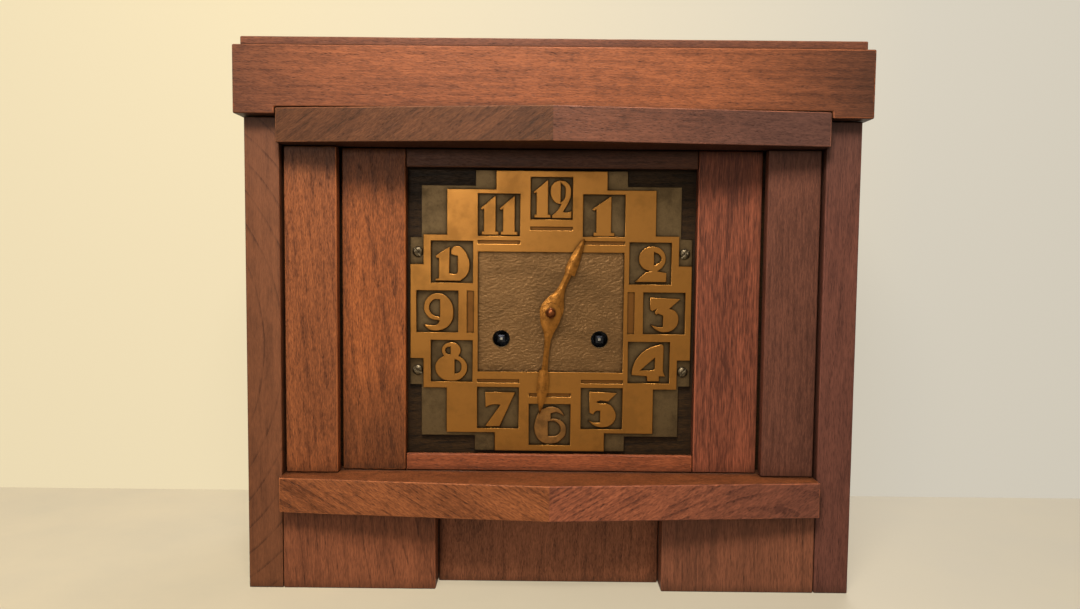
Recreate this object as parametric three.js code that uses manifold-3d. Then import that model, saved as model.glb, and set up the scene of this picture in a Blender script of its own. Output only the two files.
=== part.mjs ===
// A stepped oak mantel clock with a square relief dial, in millimetres.
// X runs to the right, Y to the back and Z up. While the pieces are made, Y is 0 at the front of the sides.
import * as THREE from "three";
import { mergeVertices } from "three/addons/utils/BufferGeometryUtils.js";
import Module from "manifold-3d";

const wasm = await Module();
wasm.setup();

// The case.
const CASE_WIDTH = 353.4;
const CASE_DEPTH = 150;
const SIDE_HEIGHT = 275.6;
const SIDE_THICKNESS = 20;
const FRIEZE_HEIGHT = 38.3;
const FRIEZE_THICKNESS = 20;
const FRIEZE_END_OVERHANG = 3.3;
const FRIEZE_FRONT_OVERHANG = 8.25;
const TOP_THICKNESS = 5;
const TOP_INSET = 3.5;
const RAIL_HEIGHT = 19.4;
const RAIL_LET_IN = 3.6;
const RAIL_PROW = 15;
const LEDGE_HEIGHT = 20.5;
const LEDGE_PROW = 12.4;
const RAIL_END_PROUD = 7.6;
const RAIL_BACK = 11;
const FOOT_HEIGHT = 47.4;
const FOOT_WIDTH = 89.8;
const FOOT_THICKNESS = 20;
const PLINTH_RECESS = 12.9;
const PLINTH_BACK_THICKNESS = 10;
const OUTER_SLAT_WIDTH = 30.7;
const OUTER_SLAT_RECESS = 3.9;
const INNER_SLAT_WIDTH = 37.6;
const INNER_SLAT_RECESS = 11.5;
const SLAT_GAP = 1.2;
const PANEL_RECESS = 19.5;
const PANEL_THICKNESS = 8;
const DIAL_RAIL_HEIGHT = 10.1;
const DIAL_RAIL_TOP_HEIGHT = 10.8;
const DIAL_GAP = 0.8;
const DIAL_SIDE_GAP = 1.6;
const DOOR_THICKNESS = 10;
const DOOR_GAP = 1.2;
const FIT = 0.3;
const HOLE_ROOM = 1;

// How far a cut runs past a face, how far joined shapes run into each other, and how rounds are faceted.
const OVERCUT = 1;
const MERGE = 1;
const SMALL_SIDES = 8;
const BAR_SIDES = 12;
const TURNED_SIDES = 16;
const ROUND_SIDES = 36;
const CURVE_STEPS = 7;
const ARC_STEPS = 10;

// The hinges and the catch of the back door.
const HINGE_LENGTH = 36;
const HINGE_INSET = 38;
const HINGE_LEAF_WIDTH = 12;
const HINGE_LEAF_THICKNESS = 1.2;
const HINGE_KNUCKLE_RADIUS = 2.2;
const HINGE_PIN_RADIUS = 1;
const HINGE_PIN_INSET = 1;
const HINGE_AXIS_LIFT = 1.32;
const HINGE_WEB = 1;
const CATCH_LENGTH = 28;
const CATCH_WIDTH = 8;
const CATCH_THICKNESS = 2.6;
const CATCH_PIN_RADIUS = 1.5;
const CATCH_PIN_LENGTH = 12;

// The dial: a base plate, the relief that stands on it, and what is sunk into the relief.
const DIAL_SIZE = 168.8;
const DIAL_BASE = 2;
const DIAL_RELIEF = 2;
const NUMERAL_RELIEF = 1.5;
const RELIEF_INSET = 0.4;
const baseEdge = DIAL_SIZE / 2;
const reliefEdge = baseEdge - RELIEF_INSET;
const BASE_STEPS = [[baseEdge, 44.4], [77.5, 75.2], [45.4, baseEdge]];
const RELIEF_STEPS = [[reliefEdge, 28.3], [76.1, 45.9], [62.1, 72.9], [33.1, reliefEdge]];
const FIELD_HALF = [43.5, 35.9];
const WINDOW_HALF = 12.5;
const TWELVE_DISTANCE = 67.8;
const ELEVEN_OFFSET = [31.2, 57.8];
const TEN_OFFSET = [59.1, 29.7];
const SLOT_WIDTH = 2;
const SLOT_DEPTH = 0.8;
const TWELVE_SLOT = 49.9;
const ELEVEN_SLOT = 41.6;
const NINE_SLOT = 48;
const DIAL_SCREW_PLACE = [79.7, 35.5];
const DIAL_SCREW_HEAD = 3.1;
const DIAL_SCREW_SHANK = 1.5;
const DIAL_SCREW_LENGTH = 8;

// The hands.
const HAND_THICKNESS = 1.4;
const HAND_GAP = 1.2;
const HOUR_HAND_LENGTH = 48;
const HOUR_STEM_START = 17;
const HOUR_BLADE_START = 26;
const HOUR_HAND_ANGLE = 24;
const MINUTE_HAND_LENGTH = 61;
const MINUTE_STEM_START = 14;
const MINUTE_BLADE_START = 36;
const MINUTE_HAND_ANGLE = 185.7;
const HAND_STEM = 3.4;
const HAND_BLADE = 6.7;
const HOUR_BOSS = 7;
const MINUTE_BOSS = 6.4;
const HAND_SHOULDER = [0.75, 0.6];
const NUT_RADIUS = 3;
const NUT_HEIGHT = 2.6;
const NUT_CROWN = 1.56;
const NUT_DOME = [[0, 0], [0.5, 0.1], [0.85, 0.4], [1, 1]];

// The movement: plates, arbors, wheels given by teeth and module, and what hangs behind.
const WINDING_SPACING = 59;
const WINDING_DROP = 16.2;
const WINDING_HOLE = 4.9;
const MOTION_SPACE = 12.5;
const PLATE_SPACE = 34;
const PLATE_THICKNESS = 2;
const PLATE_WIDTH = 112;
const PLATE_BELOW = 48;
const PLATE_ABOVE = 52;
const PILLAR_RADIUS = 4;
const PILLAR_INSET = 5.5;
const PILLAR_NECK = 2.5;
const PILLAR_PROUD = 2;
const ARBOR = 1.2;
const BARREL_RADIUS = 18;
const BARREL_LENGTH = 20;
const GREAT_TEETH = 60;
const GREAT_MODULE = 0.75;
const GREAT_PINION = 12;
const SECOND_TEETH = 54;
const SECOND_MODULE = 0.6;
const CENTRE_PINION = 9;
const CENTRE_TEETH = 60;
const CENTRE_MODULE = 0.48;
const THIRD_PINION = 8;
const THIRD_TEETH = 56;
const THIRD_MODULE = 0.42;
const ESCAPE_PINION = 8;
const ESCAPE_TEETH = 30;
const ESCAPE_RADIUS = 10.5;
const CANNON_TEETH = 12;
const MINUTE_TEETH = 36;
const CANNON_MODULE = 0.6;
const MINUTE_PINION = 10;
const HOUR_TEETH = 40;
const DEDENDUM = 1.1;
const WHEEL_ADDENDUM = 0.9;
const PINION_ADDENDUM = 0.7;
const TOOTH_ROOT = 0.3;
const LEAF_ROOT = 0.22;
const LEAF_TIP = 0.1;
const ESCAPE_ROOT = 0.8;
const ESCAPE_LEAN = [0.5, 0.45];
const WHEEL_THICKNESS = 1.6;
const PINION_LENGTH = 3;
const PIN_WHEEL_RADIUS = 14;
const PIN_CIRCLE = 11;
const PIN_COUNT = 8;
const PIN_RADIUS = 0.8;
const RATCHET_TEETH = 16;
const RATCHET_RADIUS = 10;
const RATCHET_THICKNESS = 2;
const RATCHET_ROOT = 0.84;
const RATCHET_LEAN = 0.9;
const WINDING_RADIUS = 3;
const WINDING_SQUARE = 4.6;
const WINDING_SQUARE_SETBACK = 1;
const WINDING_PROUD = 1;
const ANCHOR_RISE = 14.4;
const ANCHOR_CLEARANCE = 1.5;
const ANCHOR_BAND = 3;
const ANCHOR_HUB = 2.4;
const ANCHOR_SPREAD = [Math.PI * 0.2, Math.PI * 0.8];
const PENDULUM_LENGTH = 104;
const PENDULUM_OFFSET = 6;
const ROD_WIDTH = 3;
const ROD_THICKNESS = 2;
const BOB_RADIUS = 15;
const BOB_THICKNESS = 8;
const BOB_CURVE = [[0, 1], [0.5, 0.8], [1, 0.4]];
const GONG_OFFSET = 22;
const GONG_HEIGHT = 30;
const GONG_RADIUS = 2;
const GONG_LENGTH = 200;
const GONG_BLOCK = [26, 30, 44];
const GONG_SIDE_GAP = 14.7;
const HAMMER_REACH = 42;
const HAMMER_HEAD_RADIUS = 4;
const HAMMER_PLACE = [-32, -44.2];
const HAMMER_BAR = 3;
const HAMMER_GAP = 0.6;
const TAIL_DROP = 7.7;
const CANNON_RADIUS = 2.8;
const PIPE_WALL = 1.1;
const ESCAPE_RISE = 24.8;
const CLICK_PLACE = [15, 8];
const CLICK_PIN = 1;
const CLICK_RADIUS = 3;
const CLICK_TIP = 0.4;
const CLICK_GAP = 0.6;
const COCK_THICKNESS = 2;
const COCK_HALF = 6;
const COCK_ROOM = 2;
const ROD_HEAD = 3.6;
const CRUTCH_THICKNESS = 1.4;
const CRUTCH_LENGTH = 28;
const CRUTCH_GAP = 0.8;
const CRUTCH_FOOT = [-2, 1];
const PRONG = 1;
const MINUTE_HUB = 2.2;
const STUD_PROUD = 2;
const PIN_END_GAP = 1;

// Levels of the wheels: behind the panel, before the front plate, behind it, and before the back plate.
const HOUR_LEVEL = 3;
const CANNON_LEVEL = 4;
const RATCHET_LEVEL = 3.6;
const GREAT_LEVEL = 4;
const THIRD_LEVEL = 13;
const CENTRE_LEVEL = 19;
const ESCAPE_LEVEL = 23;
const SECOND_LEVEL = 5.5;
const TAIL_LEVEL = 2.6;

// Planes and heights that follow from the sizes above.
const inner = CASE_WIDTH / 2 - SIDE_THICKNESS;
const friezeBottom = SIDE_HEIGHT + FIT;
const friezeTop = friezeBottom + FRIEZE_HEIGHT;
const railTop = friezeBottom + RAIL_LET_IN;
const railBottom = railTop - RAIL_HEIGHT;
const ledgeBottom = FOOT_HEIGHT + FIT;
const ledgeTop = ledgeBottom + LEDGE_HEIGHT;
const outerSlatInside = inner - SLAT_GAP - OUTER_SLAT_WIDTH;
const innerSlatInside = DIAL_SIZE / 2 + DIAL_SIDE_GAP;
const slatBack = PANEL_RECESS - FIT;
const panelBack = PANEL_RECESS + PANEL_THICKNESS;
const dialZ = ledgeTop + FIT + DIAL_RAIL_HEIGHT + DIAL_GAP + DIAL_SIZE / 2;
const dialBack = PANEL_RECESS - FIT;
const dialBaseFront = dialBack - DIAL_BASE;
const dialFront = dialBaseFront - DIAL_RELIEF;
const frontPlate = panelBack + MOTION_SPACE;
const trainFront = frontPlate + PLATE_THICKNESS;
const trainBack = trainFront + PLATE_SPACE;
const movementBack = trainBack + PLATE_THICKNESS;
const hingeX = inner - FIT;
const hingeY = CASE_DEPTH + FIT + HINGE_LEAF_THICKNESS + HINGE_AXIS_LIFT;
const frontMost = -RAIL_END_PROUD - RAIL_PROW;
const backMost = hingeY + HINGE_KNUCKLE_RADIUS;

// A closed geometry as a solid, with its shared corners merged and its faces turned outwards.
function solid(geometry) {
  geometry.deleteAttribute("normal");
  geometry.deleteAttribute("uv");
  const merged = mergeVertices(geometry, 1e-4);
  const corners = merged.index.array;
  const kept = [];
  for (let i = 0; i < corners.length; i += 3) {
    const [a, b, c] = corners.subarray(i, i + 3);
    if (a !== b && b !== c && c !== a) kept.push(a, b, c);
  }
  const make = (triVerts) => new wasm.Manifold(new wasm.Mesh({
    numProp: 3,
    vertProperties: new Float32Array(merged.attributes.position.array),
    triVerts: new Uint32Array(triVerts),
  }));
  const made = make(kept);
  return made.volume() > 0 ? made : make(kept.reverse());
}

// A rectangular block between two corners.
function box(x0, x1, y0, y1, z0, z1) {
  const block = new THREE.BoxGeometry(x1 - x0, y1 - y0, z1 - z0);
  return solid(block.translate((x0 + x1) / 2, (y0 + y1) / 2, (z0 + z1) / 2));
}

// A flat outline from a list of corners.
function outline(points) {
  return new THREE.Shape(points.map(([a, b]) => new THREE.Vector2(a, b)));
}

// An outline in X and Z, made into a plate from y0 to y1.
function plate(shape, y0, y1, curveSegments = BAR_SIDES) {
  const flat = new THREE.ExtrudeGeometry(shape, { depth: y1 - y0, bevelEnabled: false, curveSegments });
  return solid(flat.rotateX(Math.PI / 2).translate(0, y1, 0));
}

// An outline in X and Y, made into a block from z0 to z1.
function board(points, z0, z1) {
  const flat = new THREE.ExtrudeGeometry(outline(points), { depth: z1 - z0, bevelEnabled: false });
  return solid(flat.translate(0, 0, z0));
}

// A turned piece whose axis runs along Y through (x, z), from a profile of [radius, y] on that axis.
function turned(x, z, profile, sides = TURNED_SIDES) {
  const points = profile.map(([radius, y]) => new THREE.Vector2(radius, y));
  return solid(new THREE.LatheGeometry(points, sides).translate(x, 0, z));
}

// A round bar along Y.
function bar(x, z, radius, y0, y1, sides = BAR_SIDES) {
  return turned(x, z, [[0, y0], [radius, y0], [radius, y1], [0, y1]], sides);
}

// A round bar along Z.
function post(x, y, radius, z0, z1) {
  const rod = new THREE.CylinderGeometry(radius, radius, z1 - z0, TURNED_SIDES);
  return solid(rod.rotateX(Math.PI / 2).translate(x, y, (z0 + z1) / 2));
}

const join = (...solids) => solids.reduce((whole, next) => whole.add(next));
const cut = (whole, ...tools) => tools.reduce((rest, tool) => rest.subtract(tool), whole);

// The oak, the metals and where each mesh is kept.
const part = new THREE.Group();
part.position.y = -(frontMost + backMost) / 2;

function finish(color, roughness, metalness = 0) {
  return () => new THREE.MeshStandardMaterial({ color, roughness, metalness });
}
const oak = finish(0x7a3b24, 0.55);
const darkOak = finish(0x3a2018, 0.6);
const brass = finish(0xb07a35, 0.4, 0.9);
const bronze = finish(0x8a6435, 0.5, 0.8);
const steel = finish(0x8f9296, 0.35, 0.95);
const cast = finish(0x2b2826, 0.7, 0.3);

function piece(name, body, material) {
  const mesh = body.getMesh();
  const geometry = new THREE.BufferGeometry();
  geometry.setAttribute("position", new THREE.BufferAttribute(mesh.vertProperties, 3));
  geometry.setIndex(new THREE.BufferAttribute(mesh.triVerts, 1));
  geometry.computeVertexNormals();
  const made = new THREE.Mesh(geometry, material());
  made.name = name;
  part.add(made);
}

// The side boards run from the surface it stands on up to the frieze. The left one takes the catch's pin.
const catchX = -inner - SIDE_THICKNESS / 2;
const catchZ = (friezeBottom + ledgeTop) / 2;
const catchPinEnd = CASE_DEPTH - CATCH_PIN_LENGTH;
const catchHole = bar(catchX, catchZ, CATCH_PIN_RADIUS + FIT, catchPinEnd - FIT, CASE_DEPTH + FIT);
const leftBoard = box(-inner - SIDE_THICKNESS, -inner, 0, CASE_DEPTH, 0, SIDE_HEIGHT);
piece("side_left", cut(leftBoard, catchHole), oak);
piece("side_right", box(inner, inner + SIDE_THICKNESS, 0, CASE_DEPTH, 0, SIDE_HEIGHT), oak);

// The frieze is a box of four boards that rests on the sides. Its front is notched over the upper rail.
const friezeHalf = CASE_WIDTH / 2 + FRIEZE_END_OVERHANG;
const friezeFrontBack = FRIEZE_THICKNESS - FRIEZE_FRONT_OVERHANG;
const friezeEndBack = CASE_DEPTH - FRIEZE_THICKNESS - FIT;
const friezeFace = -FRIEZE_FRONT_OVERHANG;
const friezeFront = box(-friezeHalf, friezeHalf, friezeFace, friezeFrontBack, friezeBottom, friezeTop);
const railNotch = box(-inner, inner, friezeFace - OVERCUT, friezeFrontBack + OVERCUT,
  friezeBottom - OVERCUT, railTop + FIT);
piece("frieze_front", cut(friezeFront, railNotch), oak);
for (const [name, side] of [["frieze_left", -1], ["frieze_right", 1]]) {
  const faces = [side * friezeHalf, side * (friezeHalf - FRIEZE_THICKNESS)].sort((a, b) => a - b);
  piece(name, box(...faces, friezeFrontBack + FIT, friezeEndBack, friezeBottom, friezeTop), oak);
}
piece("frieze_back",
  box(-friezeHalf, friezeHalf, friezeEndBack + FIT, CASE_DEPTH, friezeBottom, friezeTop), oak);
const topHalf = friezeHalf - TOP_INSET;
const topFront = TOP_INSET - FRIEZE_FRONT_OVERHANG;
const topBottom = friezeTop + FIT;
piece("top_board",
  box(-topHalf, topHalf, topFront, CASE_DEPTH - TOP_INSET, topBottom, topBottom + TOP_THICKNESS), oak);

// The upper rail and the ledge have fronts of two flat facets that meet in a keel at the middle.
function prowBoard(prow, z0, z1) {
  const half = inner - FIT;
  const ends = [[half, -RAIL_END_PROUD], [half, RAIL_BACK], [-half, RAIL_BACK], [-half, -RAIL_END_PROUD]];
  return board([...ends, [0, -RAIL_END_PROUD - prow]], z0, z1);
}
piece("upper_rail", prowBoard(RAIL_PROW, railBottom, railTop), oak);
piece("ledge", prowBoard(LEDGE_PROW, ledgeBottom, ledgeTop), oak);

// Four upright slats step back towards the dial, in two layers between the ledge and the upper rail.
const slatBottom = ledgeTop + FIT;
const slatTop = railBottom - FIT;
const outerSlat = [outerSlatInside, OUTER_SLAT_WIDTH, OUTER_SLAT_RECESS, INNER_SLAT_RECESS - FIT];
const innerSlat = [innerSlatInside, INNER_SLAT_WIDTH, INNER_SLAT_RECESS, slatBack];
for (const [name, [near, width, front, back]] of [["outer", outerSlat], ["inner", innerSlat]]) {
  piece(`slat_${name}_left`, box(-near - width, -near, front, back, slatBottom, slatTop), oak);
  piece(`slat_${name}_right`, box(near, near + width, front, back, slatBottom, slatTop), oak);
}
const dialRailHalf = innerSlatInside - FIT;
const dialRailBack = dialFront - FIT;
const dialRail = (z0, z1) => box(-dialRailHalf, dialRailHalf, INNER_SLAT_RECESS, dialRailBack, z0, z1);
piece("dial_rail_bottom", dialRail(slatBottom, slatBottom + DIAL_RAIL_HEIGHT), oak);
piece("dial_rail_top", dialRail(slatTop - DIAL_RAIL_TOP_HEIGHT, slatTop), oak);

// The dark panel behind the dial stands on the floor board and carries the dial and the movement.
const windingX = WINDING_SPACING / 2;
const windingZ = dialZ - WINDING_DROP;
const pipeInner = CANNON_RADIUS + FIT;
const pipeOuter = pipeInner + PIPE_WALL;
const [screwX, screwZ] = DIAL_SCREW_PLACE;
const corners = [[-1, -1], [1, -1], [-1, 1], [1, 1]];
const through = (x, z, radius) => bar(x, z, radius, -OVERCUT, movementBack + OVERCUT);
const panelHalf = inner - FIT;
const panelBoard = box(-panelHalf, panelHalf, PANEL_RECESS, panelBack, slatBottom, friezeBottom);
const panelHoles = [through(0, dialZ, pipeOuter + 2 * HOLE_ROOM)];
for (const side of [-1, 1]) panelHoles.push(through(side * windingX, windingZ, WINDING_HOLE + HOLE_ROOM));
for (const [i, j] of corners) {
  panelHoles.push(through(i * screwX, dialZ + j * screwZ, DIAL_SCREW_SHANK + FIT));
}
piece("front_panel", cut(panelBoard, ...panelHoles), darkOak);

// The plinth: two foot blocks flush with the sides, a panel set back between them, and a rail at the back.
const footInside = inner - FIT - FOOT_WIDTH;
piece("foot_left", box(FIT - inner, -footInside, 0, FOOT_THICKNESS, 0, FOOT_HEIGHT), oak);
piece("foot_right", box(footInside, inner - FIT, 0, FOOT_THICKNESS, 0, FOOT_HEIGHT), oak);
piece("plinth_front",
  box(FIT - footInside, footInside - FIT, PLINTH_RECESS, FOOT_THICKNESS, 0, FOOT_HEIGHT), oak);
const doorFront = CASE_DEPTH - DOOR_THICKNESS;
const plinthBack = doorFront - PLINTH_BACK_THICKNESS;
piece("plinth_back", box(FIT - inner, inner - FIT, plinthBack, doorFront, 0, FOOT_HEIGHT), oak);
piece("floor_board",
  box(FIT - inner, inner - FIT, RAIL_BACK + FIT, doorFront - FIT, ledgeBottom, ledgeTop), oak);

// The back door fills the opening between the sides and swings out on two hinges at the right side.
const doorRight = inner - DOOR_GAP;
piece("back_door", box(DOOR_GAP - inner, doorRight, doorFront, CASE_DEPTH, ledgeBottom + DOOR_GAP,
  friezeBottom - DOOR_GAP), darkOak);

// A hinge has a case leaf with two outer knuckles and the pin, and a door leaf with the middle knuckle.
const leafFront = CASE_DEPTH + FIT;
const leafBack = leafFront + HINGE_LEAF_THICKNESS;
const knuckle = HINGE_LENGTH / 3;
const leafStep = HINGE_KNUCKLE_RADIUS + FIT;
function hingeKnuckle(z0, z1, side) {
  const web = [hingeX, hingeX + side * (leafStep + HINGE_WEB)].sort((a, b) => a - b);
  const round = post(hingeX, hingeY, HINGE_KNUCKLE_RADIUS, z0, z1);
  return join(round, box(...web, leafFront, leafBack, z0, z1));
}
function hingeLeaf(z0, side) {
  const edges = [leafStep, leafStep + HINGE_LEAF_WIDTH].map((reach) => hingeX + side * reach);
  const faces = edges.sort((a, b) => a - b);
  return box(...faces, leafFront, leafBack, z0, z0 + HINGE_LENGTH);
}
const hinges = [["lower", ledgeTop + HINGE_INSET], ["upper", friezeBottom - HINGE_INSET - HINGE_LENGTH]];
for (const [name, z] of hinges) {
  const low = hingeKnuckle(z, z + knuckle - FIT, 1);
  const high = hingeKnuckle(z + 2 * knuckle + FIT, z + HINGE_LENGTH, 1);
  const pin = post(hingeX, hingeY, HINGE_PIN_RADIUS, z + HINGE_PIN_INSET, z + HINGE_LENGTH - HINGE_PIN_INSET);
  piece(`hinge_${name}_case_leaf`, join(hingeLeaf(z, 1), low, high, pin), brass);
  const middle = hingeKnuckle(z + knuckle, z + 2 * knuckle, -1);
  const bore = post(hingeX, hingeY, HINGE_PIN_RADIUS + FIT, z, z + HINGE_LENGTH);
  piece(`hinge_${name}_door_leaf`, cut(join(hingeLeaf(z, -1), middle), bore), brass);
}

// The catch is a turn button on the left side, shown turned out of the door's way.
const catchPlate = box(catchX - CATCH_WIDTH / 2, catchX + CATCH_WIDTH / 2, leafFront,
  leafFront + CATCH_THICKNESS, catchZ - CATCH_LENGTH / 2, catchZ + CATCH_LENGTH / 2);
const catchPin = bar(catchX, catchZ, CATCH_PIN_RADIUS, catchPinEnd, leafFront + MERGE);
piece("door_catch", join(catchPlate, catchPin), brass);

// The dial is one casting: a stepped base, the stepped relief with its windows, and the numerals.
const fused = DIAL_BASE / 4;
function stepped(steps, y0, y1) {
  return join(...steps.map(([x, z]) => box(-x, x, y0, y1, dialZ - z, dialZ + z)));
}
function sunk(x, z, halfX, halfZ, floor = dialBack) {
  return box(x - halfX, x + halfX, dialFront - OVERCUT, floor, dialZ + z - halfZ, dialZ + z + halfZ);
}
const [elevenX, elevenZ] = ELEVEN_OFFSET;
const [tenX, tenZ] = TEN_OFFSET;
const windows = [[0, TWELVE_DISTANCE], [elevenX, elevenZ], [tenX, tenZ], [TWELVE_DISTANCE, 0], [tenX, -tenZ],
  [elevenX, -elevenZ], [0, -TWELVE_DISTANCE], [-elevenX, -elevenZ], [-tenX, -tenZ], [-TWELVE_DISTANCE, 0],
  [-tenX, tenZ], [-elevenX, elevenZ]];
const hollows = windows.map(([x, z]) => sunk(x, z, WINDOW_HALF, WINDOW_HALF));
hollows.push(sunk(0, 0, ...FIELD_HALF));
const slotFloor = dialFront + SLOT_DEPTH;
for (const side of [-1, 1]) {
  hollows.push(sunk(0, side * TWELVE_SLOT, WINDOW_HALF, SLOT_WIDTH / 2, slotFloor));
  hollows.push(sunk(side * NINE_SLOT, 0, SLOT_WIDTH, WINDOW_HALF, slotFloor));
  for (const up of [-1, 1]) {
    hollows.push(sunk(side * elevenX, up * ELEVEN_SLOT, WINDOW_HALF, SLOT_WIDTH / 2, slotFloor));
  }
}
const reliefPlate = cut(stepped(RELIEF_STEPS, dialFront, dialBaseFront + fused), ...hollows);

// Each numeral is drawn about the middle of its window, as filled shapes less its counters.
function oval(x, z, halfX, halfZ = halfX) {
  return new THREE.Shape().absellipse(x, z, halfX, halfZ, 0, 2 * Math.PI);
}
const DIGITS = {
  0: {
    fill: [oval(0, -0.8, 9, 10.2)],
    counter: [outline([[-10, -12], [-4, -12], [-4, 12], [-10, 12]]), oval(-2.6, -0.8, 2.4, 5.8)],
  },
  1: {
    fill: [outline([[-4.6, -10.2], [4.4, -10.2], [4.4, -8.8], [3.4, -8.4], [3.4, 10.2], [2.6, 10.2], [-5, 3.8],
      [-4.5, 3], [-3.2, 3.6], [-3.2, -8.4], [-4.6, -8.8]])],
    counter: [],
  },
  2: {
    fill: [oval(0.2, 3.2, 7.3), outline([[-1.5, -3], [2.5, -3.6], [9.4, -5.6], [9.4, -10.2], [-9.4, -10.2]])],
    counter: [oval(3.6, 3.4, 2, 4.6)],
  },
  3: {
    fill: [oval(0.6, -2.6, 8),
      outline([[-8.8, 10], [9.8, 8.8], [3.2, 2.4], [-4.4, 4], [-7.4, 1.8], [-8.8, 2.6]])],
    counter: [outline([[-9.6, -7.2], [-0.8, -6.4], [-0.8, 0.2], [-4.2, 1.4], [-6, -0.6], [-9.6, 1.6]])],
  },
  4: {
    fill: [outline([[7.2, 10.6], [8.4, 9.4], [8.4, -5], [9.6, -8], [6.2, -8.2], [6.2, -10.8], [-1.4, -10.8],
      [-1.8, -8.2], [-10, -8], [-9.2, -2.4], [-5.4, 4.6], [0.8, 8.8]])],
    counter: [outline([[-4.6, -4.4], [3.2, 2.6], [3.2, -4.2]])],
  },
  5: {
    fill: [oval(0.8, -3, 7.5),
      outline([[-7.4, 10.2], [8.8, 9.4], [3.4, 3.8], [-1, 4.8], [-2.4, 1], [-7.4, 0]])],
    counter: [outline([[-8, -7.2], [-1, -6.2], [-1, -0.6], [-3.4, -0.2], [-5.4, -2.4], [-8, -0.8]])],
  },
  6: {
    fill: [oval(-0.2, -2.2, 8.9, 8.6), oval(1.4, 2.4, 7.6, 8.2)],
    counter: [oval(2.6, -2.8, 3.4, 4.6), outline([[1, 3.4], [1.2, 6.6], [4, 7.4], [10, 4], [10, 1]])],
  },
  7: {
    fill: [outline([[-7.4, 9.4], [10, 9.4], [0.8, -10.2], [-7.4, -10.6], [1, 1.8], [-5.2, 1.2], [-7.4, 2.8]])],
    counter: [],
  },
  8: {
    fill: [oval(-0.4, 5.6, 5.6), oval(-0.4, -2.8, 9, 8.6)],
    counter: [oval(-1.4, 6.4, 1.7, 2.4), oval(3.4, -2, 1.9, 4)],
  },
  9: {
    fill: [oval(0.5, 0.4, 9.6, 10.8)],
    counter: [oval(-1.6, 3.2, 3, 5),
      outline([[-11, -2], [-5.6, -3.6], [-0.4, -4.4], [0.4, -6.4], [-5, -7], [-11, -6.4]])],
  },
};
// The digits of each hour from twelve round to eleven, each with its shift to the right and its width.
const NUMERALS = [
  [["1", -5.2, 1], ["2", 5, 0.72]], [["1", 0, 1.2]], [["2", 0, 1]], [["3", 0, 1]], [["4", 0, 1]], [["5", 0, 1]],
  [["6", 0, 1]], [["7", 0, 1]], [["8", 0, 1]], [["9", 0, 1]], [["1", -5.2, 1], ["0", 3.2, 0.82]],
  [["1", -5, 1], ["1", 5.4, 1]],
];
function digit(name, shift, width, [x, z]) {
  const raise = (shape) => plate(shape, dialBaseFront - NUMERAL_RELIEF, dialBaseFront + fused, CURVE_STEPS);
  const { fill, counter } = DIGITS[name];
  const drawn = cut(join(...fill.map(raise)), ...counter.map(raise));
  return drawn.scale([width, 1, 1]).translate([x + shift, 0, dialZ + z]);
}
const numerals = NUMERALS.flatMap((digits, hour) => digits.map(([name, shift, width]) => (
  digit(name, shift, width, windows[hour]))));
const dialHoles = [through(0, dialZ, pipeOuter + FIT)];
for (const side of [-1, 1]) dialHoles.push(through(side * windingX, windingZ, WINDING_HOLE));
for (const [i, j] of corners) {
  dialHoles.push(through(i * screwX, dialZ + j * screwZ, DIAL_SCREW_SHANK + FIT));
}
const dialBase = stepped(BASE_STEPS, dialBaseFront, dialBack);
piece("dial_plate", cut(join(dialBase, reliefPlate, ...numerals), ...dialHoles), brass);

// Four slotted screws hold the dial to the panel.
const screwFront = dialBaseFront - FIT - DIAL_SCREW_HEAD / 2;
const screwSlot = DIAL_SCREW_HEAD / 4;
for (const [i, j] of corners) {
  const [x, z] = [i * screwX, dialZ + j * screwZ];
  const head = bar(x, z, DIAL_SCREW_HEAD, screwFront, dialBaseFront - FIT);
  const shank = bar(x, z, DIAL_SCREW_SHANK, screwFront + MERGE, dialBaseFront + DIAL_SCREW_LENGTH,
    SMALL_SIDES);
  const slot = box(x - DIAL_SCREW_HEAD, x + DIAL_SCREW_HEAD, screwFront - OVERCUT, screwFront + screwSlot,
    z - screwSlot / 2, z + screwSlot / 2);
  const name = `dial_screw_${j > 0 ? "upper" : "lower"}_${i > 0 ? "right" : "left"}`;
  piece(name, cut(join(head, shank), slot), steel);
}

// The hands: a round boss, a tapering stem and a pointed blade, turned clockwise from twelve.
const hourHandBack = dialFront - HAND_GAP;
const hourHandFront = hourHandBack - HAND_THICKNESS;
const minuteHandBack = hourHandFront - HAND_GAP;
const minuteHandFront = minuteHandBack - HAND_THICKNESS;
function hand(length, boss, stemStart, bladeStart, degrees, front, bore) {
  const [shoulderX, shoulderZ] = HAND_SHOULDER;
  const half = [[boss * shoulderX, boss * shoulderZ], [HAND_STEM / 2, stemStart], [HAND_STEM / 2, bladeStart],
    [HAND_BLADE / 2, (2 * bladeStart + length) / 3]];
  const blade = [...half, [0, length], ...half.map(([x, z]) => [-x, z]).reverse()];
  const angle = (degrees * Math.PI) / 180;
  const turn = ([x, z]) => [
    x * Math.cos(angle) + z * Math.sin(angle),
    dialZ + z * Math.cos(angle) - x * Math.sin(angle),
  ];
  const flat = plate(outline(blade.map(turn)), front, front + HAND_THICKNESS);
  const round = bar(0, dialZ, boss, front, front + HAND_THICKNESS, ROUND_SIDES);
  return cut(join(flat, round), through(0, dialZ, bore));
}
piece("hour_hand", hand(HOUR_HAND_LENGTH, HOUR_BOSS, HOUR_STEM_START, HOUR_BLADE_START, HOUR_HAND_ANGLE,
  hourHandFront, pipeOuter + FIT), brass);
piece("minute_hand", hand(MINUTE_HAND_LENGTH, MINUTE_BOSS, MINUTE_STEM_START, MINUTE_BLADE_START,
  MINUTE_HAND_ANGLE, minuteHandFront, CANNON_RADIUS + FIT), brass);
const nutBack = minuteHandFront - FIT;
const nutFront = nutBack - NUT_HEIGHT;
const nutBore = ARBOR + FIT;
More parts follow.
